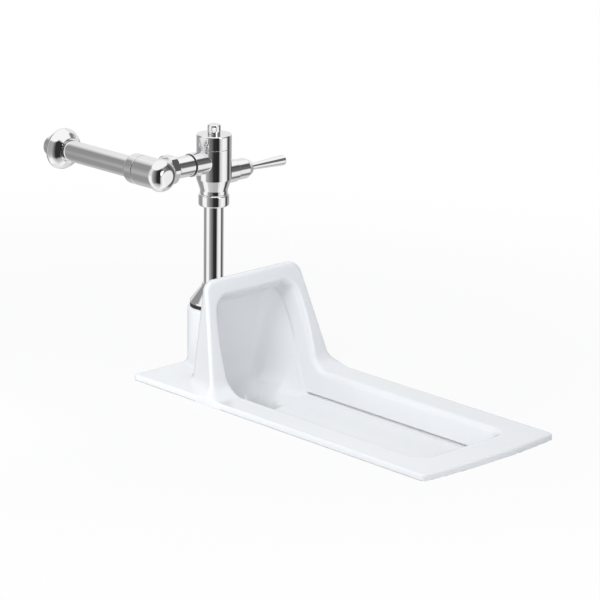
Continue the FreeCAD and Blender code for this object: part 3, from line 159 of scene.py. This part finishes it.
# The trough, its ramp, and the gap at its walls' feet
TROUGH_HALF = 89.0
TROUGH_FRONT = 591.0
TROUGH_CORNER = 26.0
TROUGH_FLOOR = -35.0
TROUGH_LOW_FLOOR = -37.0
TROUGH_EDGE = 9.0
RAMP_FOOT = 521.0
RAMP_TOP = 8.0
RAMP_BLEND = 10.0
WALL_FOOT = 3.0
GAP_HEIGHT = 4.0
GAP_DEPTH = 5.0
GAP_EDGE = 1.0
GAP_START = 163.0

# The water channels, the shell round them, and how far the floor keeps from that
CHANNEL_HALF = (99.0, 113.0)
CHANNEL_ROOF = -8.0
CHANNEL_REAR = (20.0, 46.0)
SHELL_WALL = 12.0
SHELL_REAR = 10.0
SHELL_HALF = 125.0
SHELL_CORNER = 30.0
FLOOR_HOLE_MARGIN = 2.0

# The well, the drain, the trap and its outlet
WELL_X = 125.0
WELL_HALF = 54.0
WELL_CORNER = 48.0
WELL_FOOT = -118.0
DRAIN_INSET = 20.0
DRAIN_EDGE = 24.0
TRAP_RADIUS = 50.0
TRAP_WAY = 38.0
TRAP_BEND = 56.0
TRAP_CROWN = -172.0
TRAP_DIP = -187.0
OUTLET_FOOT = pan_low.z
SPIGOT_RADIUS = 47.0
SPIGOT_LENGTH = 60.0

# Room for the spud in the horn
SPUD_HOLE = 24.2
SPUD_ROOM = 34.0
HORN_ROOF = 12.0

# The mesh: its cells, their margin round the pan, and the band of fine cells at a wall
CELL = 2.5
FINE_CELL = 1.25
LONG_CELL = 5.0
GRID_MARGIN = 2.5 * CELL
FINE_BAND = 4 * CELL
MOST_FACES = 180000
LEAST_STEEP = 0.05
TINY = 1e-6


def fillet_union(a, b, radius):
    """Two solids joined, with a fillet of this radius where they meet."""
    near = np.hypot(np.maximum(radius - a, 0), np.maximum(radius - b, 0))
    return np.maximum(radius, np.minimum(a, b)) - near


def rounded_overlap(a, b, radius):
    """What two solids share, with its edge rounded to this radius."""
    return -fillet_union(-a, -b, radius)


def eased_overlap(a, b, radius, power):
    """What two solids share, with a rounding whose curve sets in and ends gently."""
    near = np.maximum(radius + a, 0) ** power + np.maximum(radius + b, 0) ** power
    return near ** (1 / power) - np.maximum(radius, np.minimum(-a, -b))


def between(pair, share):
    """The value at a share of the way from the first to the second."""
    return pair[0] + (pair[1] - pair[0]) * share


def eased(value, low, high):
    """Runs smoothly from 0 at the low value to 1 at the high one."""
    share = np.clip((value - low) / (high - low), 0, 1)
    return share * share * (3 - 2 * share)


def rim_outline(x, y):
    """Distance outside the rim's outline, whose user end is bowed."""
    bow = RIM_BOW * (y / RIM_HALF) ** 2 * np.clip(x / RIM_LENGTH, 0, 1)
    ends = np.maximum(x + bow - RIM_LENGTH, -x)
    return rounded_overlap(ends, np.abs(y) - RIM_HALF, RIM_CORNER)


def front_plane(z):
    """Where the hood's leaning front stands at a height."""
    return HOOD_FRONT - z * FRONT_LEAN


def rear_plane(z):
    """Where the hood's leaning back stands at a height."""
    return HOOD_REAR + z * REAR_LEAN


def hood_field(x, y, z):
    """The hood's outside: two leaning faces, slanted sides and round shoulders."""
    rise = z / HOOD_TOP
    share = (x - rear_plane(z)) / (front_plane(z) - rear_plane(z))
    share = np.clip(share, -HOOD_SIDE_REACH, 1 + HOOD_SIDE_REACH)
    half = between((between(HOOD_REAR_HALF, rise), between(HOOD_FRONT_HALF, rise)), share)
    slant = (HOOD_FRONT_HALF[0] - HOOD_REAR_HALF[0]) / (HOOD_FRONT - HOOD_REAR)
    side = (np.abs(y) - half) / math.hypot(1, slant)
    front = (x - front_plane(z)) / math.hypot(1, FRONT_LEAN)
    rear = (rear_plane(z) - x) / math.hypot(1, REAR_LEAN)
    hood = rounded_overlap(side, z - HOOD_TOP, HOOD_SHOULDER)
    hood = rounded_overlap(hood, front, HOOD_EDGE)
    return rounded_overlap(hood, rear, HOOD_BACK_EDGE)


def upper_field(x, y, z):
    """The rim, hood and horn, not yet cut off at the floor."""
    rim = rounded_overlap(rim_outline(x, y), z - RIM_THICK, RIM_EDGE)
    hood = hood_field(x, y, z)
    column = np.hypot(x - HORN_X, y) - HORN_RADIUS
    horn = rounded_overlap(fillet_union(hood, column, HORN_VALLEY), z - HORN_TOP, HORN_EDGE)
    upper = np.minimum(hood, horn)
    foot = between(HOOD_FOOT, eased(x, HOOD_REAR, HOOD_FRONT))
    upper = fillet_union(upper, rim, foot)
    return rounded_overlap(upper, np.abs(y) - RIM_HALF, RIM_EDGE)


def trap_line(x, z):
    """Distance, in the middle plane, from the line that the trap follows."""
    x_up = WELL_X + 2 * TRAP_BEND
    x_out = x_up + 2 * TRAP_BEND
    far = 1000.0
    down = np.hypot(x - WELL_X, np.maximum(TRAP_DIP - z, np.maximum(z - WELL_FOOT, 0)))
    up = np.hypot(x - x_up, np.maximum(TRAP_DIP - z, np.maximum(z - TRAP_CROWN, 0)))
    out = np.hypot(x - x_out, np.maximum(z - TRAP_CROWN, 0))
    lower = np.abs(np.hypot(x - WELL_X - TRAP_BEND, z - TRAP_DIP) - TRAP_BEND)
    upper = np.abs(np.hypot(x - x_up - TRAP_BEND, z - TRAP_CROWN) - TRAP_BEND)
    lower = np.where(z < TRAP_DIP, lower, far)
    upper = np.where(z > TRAP_CROWN, upper, far)
    legs = np.minimum(np.minimum(down, up), out)
    return np.minimum(legs, np.minimum(lower, upper))


def well_outline(x, y, inset):
    """Distance outside the well's rounded square outline, drawn in by an inset."""
    half = WELL_HALF - inset
    return rounded_overlap(np.abs(x - WELL_X) - half, np.abs(y) - half, WELL_CORNER - inset)


def floor_height(x, y):
    """The trough's floor: a ramp at the front, a slow fall from its foot, and a dip at the drain."""
    fall = (TROUGH_FLOOR - TROUGH_LOW_FLOOR) / (RAMP_FOOT - LIP_BACK)
    low = TROUGH_FLOOR + (x - RAMP_FOOT) * fall
    climb = (RAMP_TOP - TROUGH_FLOOR) / (TROUGH_FRONT - RAMP_FOOT)
    ramp = TROUGH_FLOOR + (x - RAMP_FOOT) * climb
    level = np.maximum(low, TROUGH_LOW_FLOOR)
    gap = np.abs(ramp - level)
    ease = np.maximum(RAMP_BLEND - gap, 0)
    edge = np.clip(DRAIN_EDGE - well_outline(x, y, DRAIN_INSET), 0, DRAIN_EDGE)
    dip = DRAIN_EDGE - np.sqrt(DRAIN_EDGE ** 2 - edge ** 2)
    return np.maximum(ramp, level) + ease ** 2 / (4 * RAMP_BLEND) - dip


def lower_field(x, y, z):
    """The basin, the well and the trap, which hang below the floor and run on up into the rim and hood."""
    shell_front = TROUGH_FRONT + SHELL_WALL
    ends = np.maximum(x - shell_front, SHELL_REAR - x)
    outline = rounded_overlap(ends, np.abs(y) - SHELL_HALF, SHELL_CORNER)
    underside = floor_height(x, y) - SHELL_WALL
    shell = rounded_overlap(outline, underside - z, SHELL_WALL)
    well = rounded_overlap(well_outline(x, y, 0), WELL_FOOT - z, SHELL_WALL)
    spigot = np.clip((OUTLET_FOOT + SPIGOT_LENGTH - z) / (TRAP_RADIUS - SPIGOT_RADIUS), 0, 1)
    radius = TRAP_RADIUS - (TRAP_RADIUS - SPIGOT_RADIUS) * spigot
    trap = np.maximum(np.hypot(trap_line(x, z), y) - radius, OUTLET_FOOT - z)
    lower = fillet_union(shell, well, SHELL_WALL)
    return fillet_union(lower, trap, SHELL_WALL)


def hollow_field(x, y, z):
    """The mouth, the recess behind its lip, the bowl and the trough, as one hollow with a drain."""
    above = z - RIM_THICK
    rise = (above + np.hypot(above, MOUTH_EASE)) / 2 / (MOUTH_TOP - RIM_THICK)
    depth = front_plane(z) - x
    taper = MOUTH_TAPER * np.clip(depth / LIP_DEPTH, 0, 1)
    behind = eased(depth, LIP_DEPTH, LIP_DEPTH + LIP_RUN)
    rear = HOOD_REAR + RECESS_WALL + z * REAR_LEAN
    room = np.maximum(front_plane(z) - LIP_DEPTH - rear, RECESS_LEAST)
    narrow = np.clip((depth - LIP_DEPTH) / room, 0, 1) ** RECESS_CURVE
    bulge = MOUTH_BULGE * 4 * rise * np.clip(1 - rise, 0, 1)
    wide = between(MOUTH_HALF, rise) + bulge - taper * rise + LIP_STEP * behind * rise
    half = wide - (wide - RECESS_REAR_HALF) * narrow
    side = rounded_overlap(np.abs(y) - half, x - TROUGH_FRONT, TROUGH_CORNER)
    top = MOUTH_TOP - taper + LIP_TOP_STEP * behind
    hollow = rounded_overlap(side, z - top, between((MOUTH_CORNER, RECESS_TOP_CORNER), behind))
    hollow = rounded_overlap(hollow, rear - x, RECESS_CORNER)
    foot = between((BOWL_CORNER, WALL_FOOT), eased(x, WELL_X, GAP_START))
    hollow = eased_overlap(hollow, floor_height(x, y) - z, foot, BOWL_POWER)
    drain = rounded_overlap(well_outline(x, y, DRAIN_INSET), WELL_FOOT + SHELL_WALL - z, SHELL_WALL)
    return np.minimum(hollow, np.maximum(drain, z - TROUGH_LOW_FLOOR + DRAIN_EDGE / 2))


def ways_field(x, y, z):
    """The water's ways: horn bore, channels round the trough, gaps at its walls' feet, and the trap."""
    across = np.abs(y)
    sides = np.maximum(np.maximum(CHANNEL_HALF[0] - across, across - CHANNEL_HALF[1]),
                       np.maximum(x - RAMP_FOOT, CHANNEL_REAR[0] - x))
    back = np.maximum(np.maximum(CHANNEL_REAR[0] - x, x - CHANNEL_REAR[1]), across - CHANNEL_HALF[1])
    channel = np.maximum(np.minimum(sides, back), np.maximum(z - CHANNEL_ROOF, TROUGH_FLOOR - z))
    gap = np.maximum(np.maximum(GAP_START - x, x - RAMP_FOOT),
                     np.maximum(TROUGH_HALF - GAP_DEPTH - across, across - CHANNEL_HALF[1]))
    gap = rounded_overlap(gap, np.maximum(TROUGH_FLOOR - z, z - TROUGH_FLOOR - GAP_HEIGHT), GAP_EDGE)
    from_horn = np.hypot(x - HORN_X, y)
    drop = np.maximum(from_horn - (CHANNEL_REAR[1] - CHANNEL_REAR[0]) / 2, CHANNEL_ROOF - z)
    room = np.maximum(from_horn - SPUD_ROOM, np.maximum(RIM_THICK - z, z - HORN_TOP + HORN_ROOF))
    horn = np.minimum(np.maximum(np.minimum(drop, room), z - HORN_TOP + HORN_ROOF),
                      np.maximum(from_horn - SPUD_HOLE, RIM_THICK - z))
    trap = np.hypot(trap_line(x, z), y) - TRAP_WAY
    return np.minimum(np.minimum(channel, gap), np.minimum(horn, trap))


def pan_field(x, y, z):
    """Under zero inside the china, over zero outside, in millimetres."""
    china = np.maximum(upper_field(x, y, z), fillet_union(-z, lower_field(x, y, z), RIM_EDGE))
    china = rounded_overlap(china, -hollow_field(x, y, z), TROUGH_EDGE)
    return np.maximum(china, -ways_field(x, y, z))


def net(values, axes):
    """A quad mesh on the zero level of a grid: one point in each cell that it crosses."""
    inside = values < 0
    counts = sum(inside[a:a + inside.shape[0] - 1, b:b + inside.shape[1] - 1, c:c + inside.shape[2] - 1]
                 .astype(np.int8) for a in (0, 1) for b in (0, 1) for c in (0, 1))
    cells = np.argwhere((counts > 0) & (counts < 8))
    number = np.full(counts.shape, -1, np.int32)
    number[tuple(cells.T)] = np.arange(len(cells))
    total = np.zeros((len(cells), 3))
    hits = np.zeros(len(cells))
    for axis in range(3):
        for offset in np.ndindex(2, 2):
            start = np.insert(np.array(offset), axis, 0)
            end = np.insert(np.array(offset), axis, 1)
            low = values[tuple((cells + start).T)]
            high = values[tuple((cells + end).T)]
            crossed = (low < 0) != (high < 0)
            share = np.where(crossed, low / np.where(crossed, low - high, 1), 0)
            point = start + np.outer(share, end - start)
            total += np.where(crossed[:, None], point, 0)
            hits += crossed
    places = cells + total / hits[:, None]
    points = np.stack([np.interp(places[:, i], np.arange(len(axes[i])), axes[i]) for i in range(3)], axis=1)

    quads = []
    for axis in range(3):
        first, second = (axis + 1) % 3, (axis + 2) % 3
        ahead = np.take(inside, range(1, inside.shape[axis]), axis)
        behind = np.take(inside, range(inside.shape[axis] - 1), axis)
        for leaving in (True, False):
            edges = np.argwhere((behind & ~ahead) if leaving else (ahead & ~behind))
            corners = []
            for a, b in ((0, 0), (1, 0), (1, 1), (0, 1)):
                cell = edges.copy()
                cell[:, first] -= 1 - a
                cell[:, second] -= 1 - b
                corners.append(number[tuple(cell.T)])
            quads.append(np.stack(corners if leaving else corners[::-1], axis=1))
    return points, np.concatenate(quads)


def slope_of(field, points, step):
    """The field's gradient at points."""
    slopes = []
    for axis in range(3):
        shift = np.zeros(3)
        shift[axis] = step
        slopes.append((field(*(points + shift).T) - field(*(points - shift).T)) / (2 * step))
    return np.stack(slopes, axis=1)


def settle(field, points, rounds):
    """Moves points onto the field's zero level, each round by at most half a cell."""
    for _ in range(rounds):
        slope = slope_of(field, points, step=CELL / 10)
        steep = np.maximum((slope ** 2).sum(axis=1), LEAST_STEEP)
        move = -slope * (field(*points.T) / steep)[:, None]
        length = np.linalg.norm(move, axis=1)
        points = points + move * np.minimum(1, CELL / 2 / np.maximum(length, TINY))[:, None]
    return points


def stations(stops):
    """Grid stations along one axis: each stop is a place, and the cell size from there to the next one."""
    runs = []
    for (start, cell), (end, _) in zip(stops, stops[1:]):
        count = math.ceil((end - start) / cell)
        runs.append(np.linspace(start, end, count, endpoint=False))
    return np.append(np.concatenate(runs), stops[-1][0])


def make_pan():
    """The china as one mesh, finer where its edges are small and the gap runs along the trough."""
    low = pan_low - Vector((GRID_MARGIN,) * 3)
    high = pan_high + Vector((GRID_MARGIN,) * 3)
    wall = TROUGH_HALF + FINE_BAND / 2
    side = high.y
    axes = [
        stations([(low.x, CELL), (HOOD_FRONT + HOOD_FOOT[1], LONG_CELL),
                  (RAMP_FOOT - RAMP_BLEND, CELL), (high.x, CELL)]),
        stations([(-side, CELL), (-wall, FINE_CELL), (FINE_BAND - wall, CELL),
                  (wall - FINE_BAND, FINE_CELL), (wall, CELL), (side, CELL)]),
        stations([(low.z, CELL), (TROUGH_LOW_FLOOR - CELL, FINE_CELL),
                  (RIM_THICK + CELL, CELL), (high.z, CELL)]),
    ]
    x, y, z = np.meshgrid(*axes, indexing="ij", sparse=True)
    points, quads = net(pan_field(x, y, z), axes)
    points = settle(pan_field, points, rounds=3)
    mesh = bpy.data.meshes.new("pan_net")
    mesh.from_pydata(points * MM, [], quads)
    pan = bpy.data.objects.new("pan_china", mesh)
    bpy.context.scene.collection.objects.link(pan)
    thin = pan.modifiers.new("thin", "DECIMATE")
    thin.ratio = min(1.0, MOST_FACES / (2 * len(quads)))
    shown = pan.evaluated_get(bpy.context.evaluated_depsgraph_get())
    thinned = bpy.data.meshes.new_from_object(shown)
    pan.modifiers.clear()
    pan.data = thinned
    thinned.name = "pan_china"
    bpy.data.meshes.remove(mesh)
    places = np.empty(3 * len(thinned.vertices))
    thinned.vertices.foreach_get("co", places)
    places = settle(pan_field, places.reshape(-1, 3) / MM, rounds=2)
    thinned.vertices.foreach_set("co", (places * MM).ravel())
    facing = slope_of(pan_field, places, step=FINE_CELL / 2)
    facing /= np.maximum(np.linalg.norm(facing, axis=1), TINY)[:, None]
    thinned.shade_smooth()
    thinned.normals_split_custom_set_from_vertices(facing)
    return pan


def noise(tree, scale, detail):
    """Noise in the object's own space."""
    place = tree.nodes.new("ShaderNodeTexCoord")
    texture = tree.nodes.new("ShaderNodeTexNoise")
    texture.inputs["Scale"].default_value = scale
    texture.inputs["Detail"].default_value = detail
    tree.links.new(place.outputs["Object"], texture.inputs["Vector"])
    return texture.outputs["Fac"]


def span(tree, value, source, target):
    """Maps one range of values to another."""
    node = tree.nodes.new("ShaderNodeMapRange")
    for name, level in zip(("From Min", "From Max", "To Min", "To Max"), (*source, *target)):
        node.inputs[name].default_value = level
    tree.links.new(value, node.inputs["Value"])
    return node.outputs["Result"]


def calculate(tree, operation, first, second):
    """The result of one operation on two values."""
    node = tree.nodes.new("ShaderNodeMath")
    node.operation = operation
    tree.links.new(first, node.inputs[0])
    tree.links.new(second, node.inputs[1])
    return node.outputs["Value"]


def blend_colours(tree, factor, first, second):
    """Mixes two colours, each given as numbers or as a socket."""
    mix = tree.nodes.new("ShaderNodeMix")
    mix.data_type = "RGBA"
    tree.links.new(factor, mix.inputs["Factor"])
    for index, colour in zip(MIX_COLOURS, (first, second)):
        if isinstance(colour, bpy.types.NodeSocket):
            tree.links.new(colour, mix.inputs[index])
        else:
            mix.inputs[index].default_value = (*colour, 1)
    return mix.outputs[MIX_RESULT]


def blend_shaders(tree, factor, first, second):
    """Mixes two shaders."""
    mix = tree.nodes.new("ShaderNodeMixShader")
    tree.links.new(factor, mix.inputs["Fac"])
    tree.links.new(first, mix.inputs[1])
    tree.links.new(second, mix.inputs[2])
    return mix.outputs["Shader"]


def new_material(name):
    """A new material, its node tree and its shader."""
    material = bpy.data.materials.new(name)
    material.use_nodes = True
    tree = material.node_tree
    return material, tree, tree.nodes["Principled BSDF"]


def finish(name, scale, detail, colours, roughness, metallic=0.0):
    """A material whose colour and roughness vary with one noise, its tree, its shader and that noise."""
    material, tree, shader = new_material(name)
    grain = noise(tree, scale, detail)
    tree.links.new(blend_colours(tree, grain, *colours), shader.inputs["Base Color"])
    tree.links.new(span(tree, grain, NOISE_RANGE, roughness), shader.inputs["Roughness"])
    shader.inputs["Metallic"].default_value = metallic
    return material, tree, shader, grain


def add_relief(tree, shader, height, strength, distance):
    """Gives a shader fine relief."""
    bump = tree.nodes.new("ShaderNodeBump")
    bump.inputs["Strength"].default_value = strength
    bump.inputs["Distance"].default_value = distance
    tree.links.new(height, bump.inputs["Height"])
    tree.links.new(bump.outputs["Normal"], shader.inputs["Normal"])


def china_glaze():
    """Cool white glaze, faintly clouded and rippled."""
    material, tree, shader, _ = finish(
        "china_glaze", scale=9.0, detail=3.0, roughness=(0.06, 0.12),
        colours=((0.885, 0.9, 0.92), (0.91, 0.922, 0.938)))
    shader.inputs["IOR"].default_value = GLAZE_IOR
    ripple = noise(tree, scale=55.0, detail=2.0)
    add_relief(tree, shader, ripple, strength=0.04, distance=0.001)
    return material


def chrome_plate():
    """Bright chrome with faint smears and soft edges."""
    material, tree, shader, _ = finish(
        "chrome_plate", scale=40.0, detail=4.0, roughness=(0.03, 0.07), metallic=1.0,
        colours=((0.88, 0.88, 0.895), (0.94, 0.94, 0.95)))
    edge = tree.nodes.new("ShaderNodeBevel")
    edge.samples = EDGE_SAMPLES
    edge.inputs["Radius"].default_value = EDGE_RADIUS
    tree.links.new(edge.outputs["Normal"], shader.inputs["Normal"])
    return material


def turned_brass():
    """Brass, a little tarnished."""
    material, _, _, _ = finish(
        "turned_brass", scale=120.0, detail=4.0, roughness=(0.22, 0.42), metallic=1.0,
        colours=((0.58, 0.40, 0.15), (0.74, 0.55, 0.26)))
    return material


def black_rubber():
    """Dull black rubber with a fine grain."""
    material, tree, shader, grain = finish(
        "black_rubber", scale=400.0, detail=3.0, roughness=(0.45, 0.7),
        colours=((0.012, 0.012, 0.013), (0.035, 0.035, 0.037)))
    add_relief(tree, shader, grain, strength=0.15, distance=0.0003)
    return material


def drawn_steel():
    """Grey drawn wire."""
    material, _, _, _ = finish(
        "drawn_steel", scale=300.0, detail=2.0, roughness=(0.2, 0.4), metallic=1.0,
        colours=((0.42, 0.42, 0.43), (0.6, 0.6, 0.61)))
    return material


def paint_nodes(materials):
    """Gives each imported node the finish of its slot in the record."""
    for subpart in frame["record"]["subparts"]:
        node = frame["nodes"][subpart["node"]]
        node.data.materials.clear()
        node.data.materials.append(materials[subpart["material_slot"]])
        node.data.shade_smooth()


def make_spring(material):
    """The plunger's return spring, copied from its node and fixed to the base; the copy keeps its length as
    the plunger goes in.
    """
    node = frame["nodes"]["plunger_spring"]
    spring = bpy.data.objects.new("return_spring", node.data.copy())
    spring.data.materials.clear()
    spring.data.materials.append(material)
    bpy.context.scene.collection.objects.link(spring)
    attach(spring, "base")
    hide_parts("plunger_spring")
    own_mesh(spring)


def shown_white(tree, surface, share):
    """A surface as the camera and mirrors see it: white by this share, and by the rest its own shading."""
    path = tree.nodes.new("ShaderNodeLightPath")
    seen = path.outputs["Is Camera Ray"]
    for kind in ("Is Glossy Ray", "Is Transmission Ray"):
        seen = calculate(tree, "MAXIMUM", seen, path.outputs[kind])
    white = tree.nodes.new("ShaderNodeEmission")
    white.inputs["Color"].default_value = (1, 1, 1, 1)
    return blend_shaders(tree, calculate(tree, "MULTIPLY", seen, share), surface, white.outputs["Emission"])


def make_floor():
    """A pale floor at the rim's foot, open where the basin hangs through it."""
    back = SHELL_REAR - FLOOR_HOLE_MARGIN
    front = TROUGH_FRONT + SHELL_WALL + FLOOR_HOLE_MARGIN
    half = SHELL_HALF + FLOOR_HOLE_MARGIN
    hole = [(back, -half), (front, -half), (front, half), (back, half)]
    corners = [(-1, -1), (1, -1), (1, 1), (-1, 1)]
    points = [(x * MM, y * MM, 0) for x, y in hole]
    points += [(x * FLOOR_REACH, y * FLOOR_REACH, 0) for x, y in corners]
    sides = [(i, 4 + i, 4 + (i + 1) % 4, (i + 1) % 4) for i in range(4)]
    mesh = bpy.data.meshes.new("floor")
    mesh.from_pydata(points, [], sides)
    floor = bpy.data.objects.new("floor", mesh)
    bpy.context.scene.collection.objects.link(floor)
    material, tree, shader = new_material("pale_floor")
    shader.inputs["Base Color"].default_value = (FLOOR_GREY, FLOOR_GREY, FLOOR_GREY, 1)
    shader.inputs["Roughness"].default_value = FLOOR_ROUGH
    place = tree.nodes.new("ShaderNodeTexCoord")
    away = tree.nodes.new("ShaderNodeVectorMath")
    away.operation = "LENGTH"
    tree.links.new(place.outputs["Object"], away.inputs[0])
    share = span(tree, away.outputs["Value"], FLOOR_FADE, (FLOOR_WHITE, 1.0))
    seen = shown_white(tree, shader.outputs["BSDF"], share)
    tree.links.new(seen, tree.nodes["Material Output"].inputs["Surface"])
    floor.data.materials.append(material)
    floor.visible_glossy = False


def ramp(tree, share, stops):
    """A smooth grey ramp through (place, brightness) stops, from the first place to the last."""
    node = tree.nodes.new("ShaderNodeValToRGB")
    node.color_ramp.interpolation = "EASE"
    elements = node.color_ramp.elements
    start, end = stops[0][0], stops[-1][0]
    stops = [((place - start) / (end - start), level) for place, level in stops]
    for element, (place, level) in zip(elements, (stops[0], stops[-1])):
        element.position = place
        element.color = (level, level, level, 1)
    for place, level in stops[1:-1]:
        element = elements.new(place)
        element.color = (level, level, level, 1)
    tree.links.new(share, node.inputs["Fac"])
    return node.outputs["Color"]


def studio_sides(tree):
    """Brightness by direction: softboxes to the left and right, dark walls between, and a lit ceiling."""
    place = tree.nodes.new("ShaderNodeTexCoord")
    turned = tree.nodes.new("ShaderNodeMapping")
    turned.inputs["Rotation"].default_value = (0, 0, STUDIO_TURN)
    tree.links.new(place.outputs["Generated"], turned.inputs["Vector"])
    parts = tree.nodes.new("ShaderNodeSeparateXYZ")
    tree.links.new(turned.outputs["Vector"], parts.inputs["Vector"])
    angle = calculate(tree, "ARCTAN2", parts.outputs["Y"], parts.outputs["X"])
    around = span(tree, angle, (-math.pi, math.pi), (0, 1))
    height = span(tree, parts.outputs["Z"], (-1, 1), (0, 1))
    low, high = (ramp(tree, around, walls) for walls in (LOW_WALLS, HIGH_WALLS))
    raised, ceiling = (ramp(tree, height, lit) for lit in (EYE_LEVEL, CEILING))
    return blend_colours(tree, ceiling, blend_colours(tree, raised, low, high), (1, 1, 1))


def make_world():
    """White to the camera, even and cool on the object, and a studio of lit and dark sides to mirrors."""
    world = bpy.data.worlds.new("studio")
    bpy.context.scene.world = world
    world.use_nodes = True
    tree = world.node_tree
    even = tree.nodes["Background"]
    even.inputs["Color"].default_value = (*AMBIENT_COLOUR, 1)
    even.inputs["Strength"].default_value = AMBIENT
    white = tree.nodes.new("ShaderNodeBackground")
    white.inputs["Color"].default_value = (1, 1, 1, 1)
    sides = tree.nodes.new("ShaderNodeBackground")
    tree.links.new(studio_sides(tree), sides.inputs["Color"])
    path = tree.nodes.new("ShaderNodeLightPath")
    mirrored = calculate(tree, "MAXIMUM", path.outputs["Is Glossy Ray"], path.outputs["Is Transmission Ray"])
    shown = even.outputs["Background"]
    for kind, seen in ((sides, mirrored), (white, path.outputs["Is Camera Ray"])):
        shown = blend_shaders(tree, seen, shown, kind.outputs["Background"])
    tree.links.new(shown, tree.nodes["World Output"].inputs["Surface"])


def area_light(name, place, aim, size, power, mirrored):
    """A square lamp that shines from a place to an aim."""
    light = bpy.data.lights.new(name, "AREA")
    light.shape = "SQUARE"
    light.size = size
    light.energy = power
    lamp = bpy.data.objects.new(name, light)
    lamp.location = place
    lamp.visible_glossy = mirrored
    lamp.rotation_mode = "QUATERNION"
    lamp.rotation_quaternion = (Vector(aim) - Vector(place)).to_track_quat("-Z", "Y")
    bpy.context.scene.collection.objects.link(lamp)


def make_camera():
    """The camera of the main view, turned about its aim."""
    camera = bpy.data.objects.new("camera", bpy.data.cameras.new("camera"))
    bpy.context.scene.collection.objects.link(camera)
    level = math.cos(VIEW_ELEVATION)
    across = math.sin(VIEW_AZIMUTH) * level
    along = -math.cos(VIEW_AZIMUTH) * level
    back = Vector((across, along, math.sin(VIEW_ELEVATION)))
    camera.location = VIEW_AIM + back * VIEW_DISTANCE
    camera.rotation_mode = "QUATERNION"
    camera.rotation_quaternion = (-back).to_track_quat("-Z", "Y") @ Quaternion((0, 0, 1), VIEW_ROLL)
    camera.data.lens = LENS_MM
    camera.data.sensor_width = SENSOR_MM
    camera.data.clip_end = VIEW_END
    bpy.context.scene.camera = camera


make_camera()
make_world()
make_floor()
for lamp in LAMPS:
    area_light(*lamp)
materials = {
    "china": china_glaze(),
    "chrome": chrome_plate(),
    "brass": turned_brass(),
    "rubber": black_rubber(),
    "spring_steel": drawn_steel(),
}
paint_nodes(materials)
make_spring(materials["spring_steel"])
pan = make_pan()
pan.data.materials.append(materials["china"])
pan.visible_glossy = False
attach(pan, "base")
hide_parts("pan")

bpy.context.scene.view_settings.view_transform = "Standard"
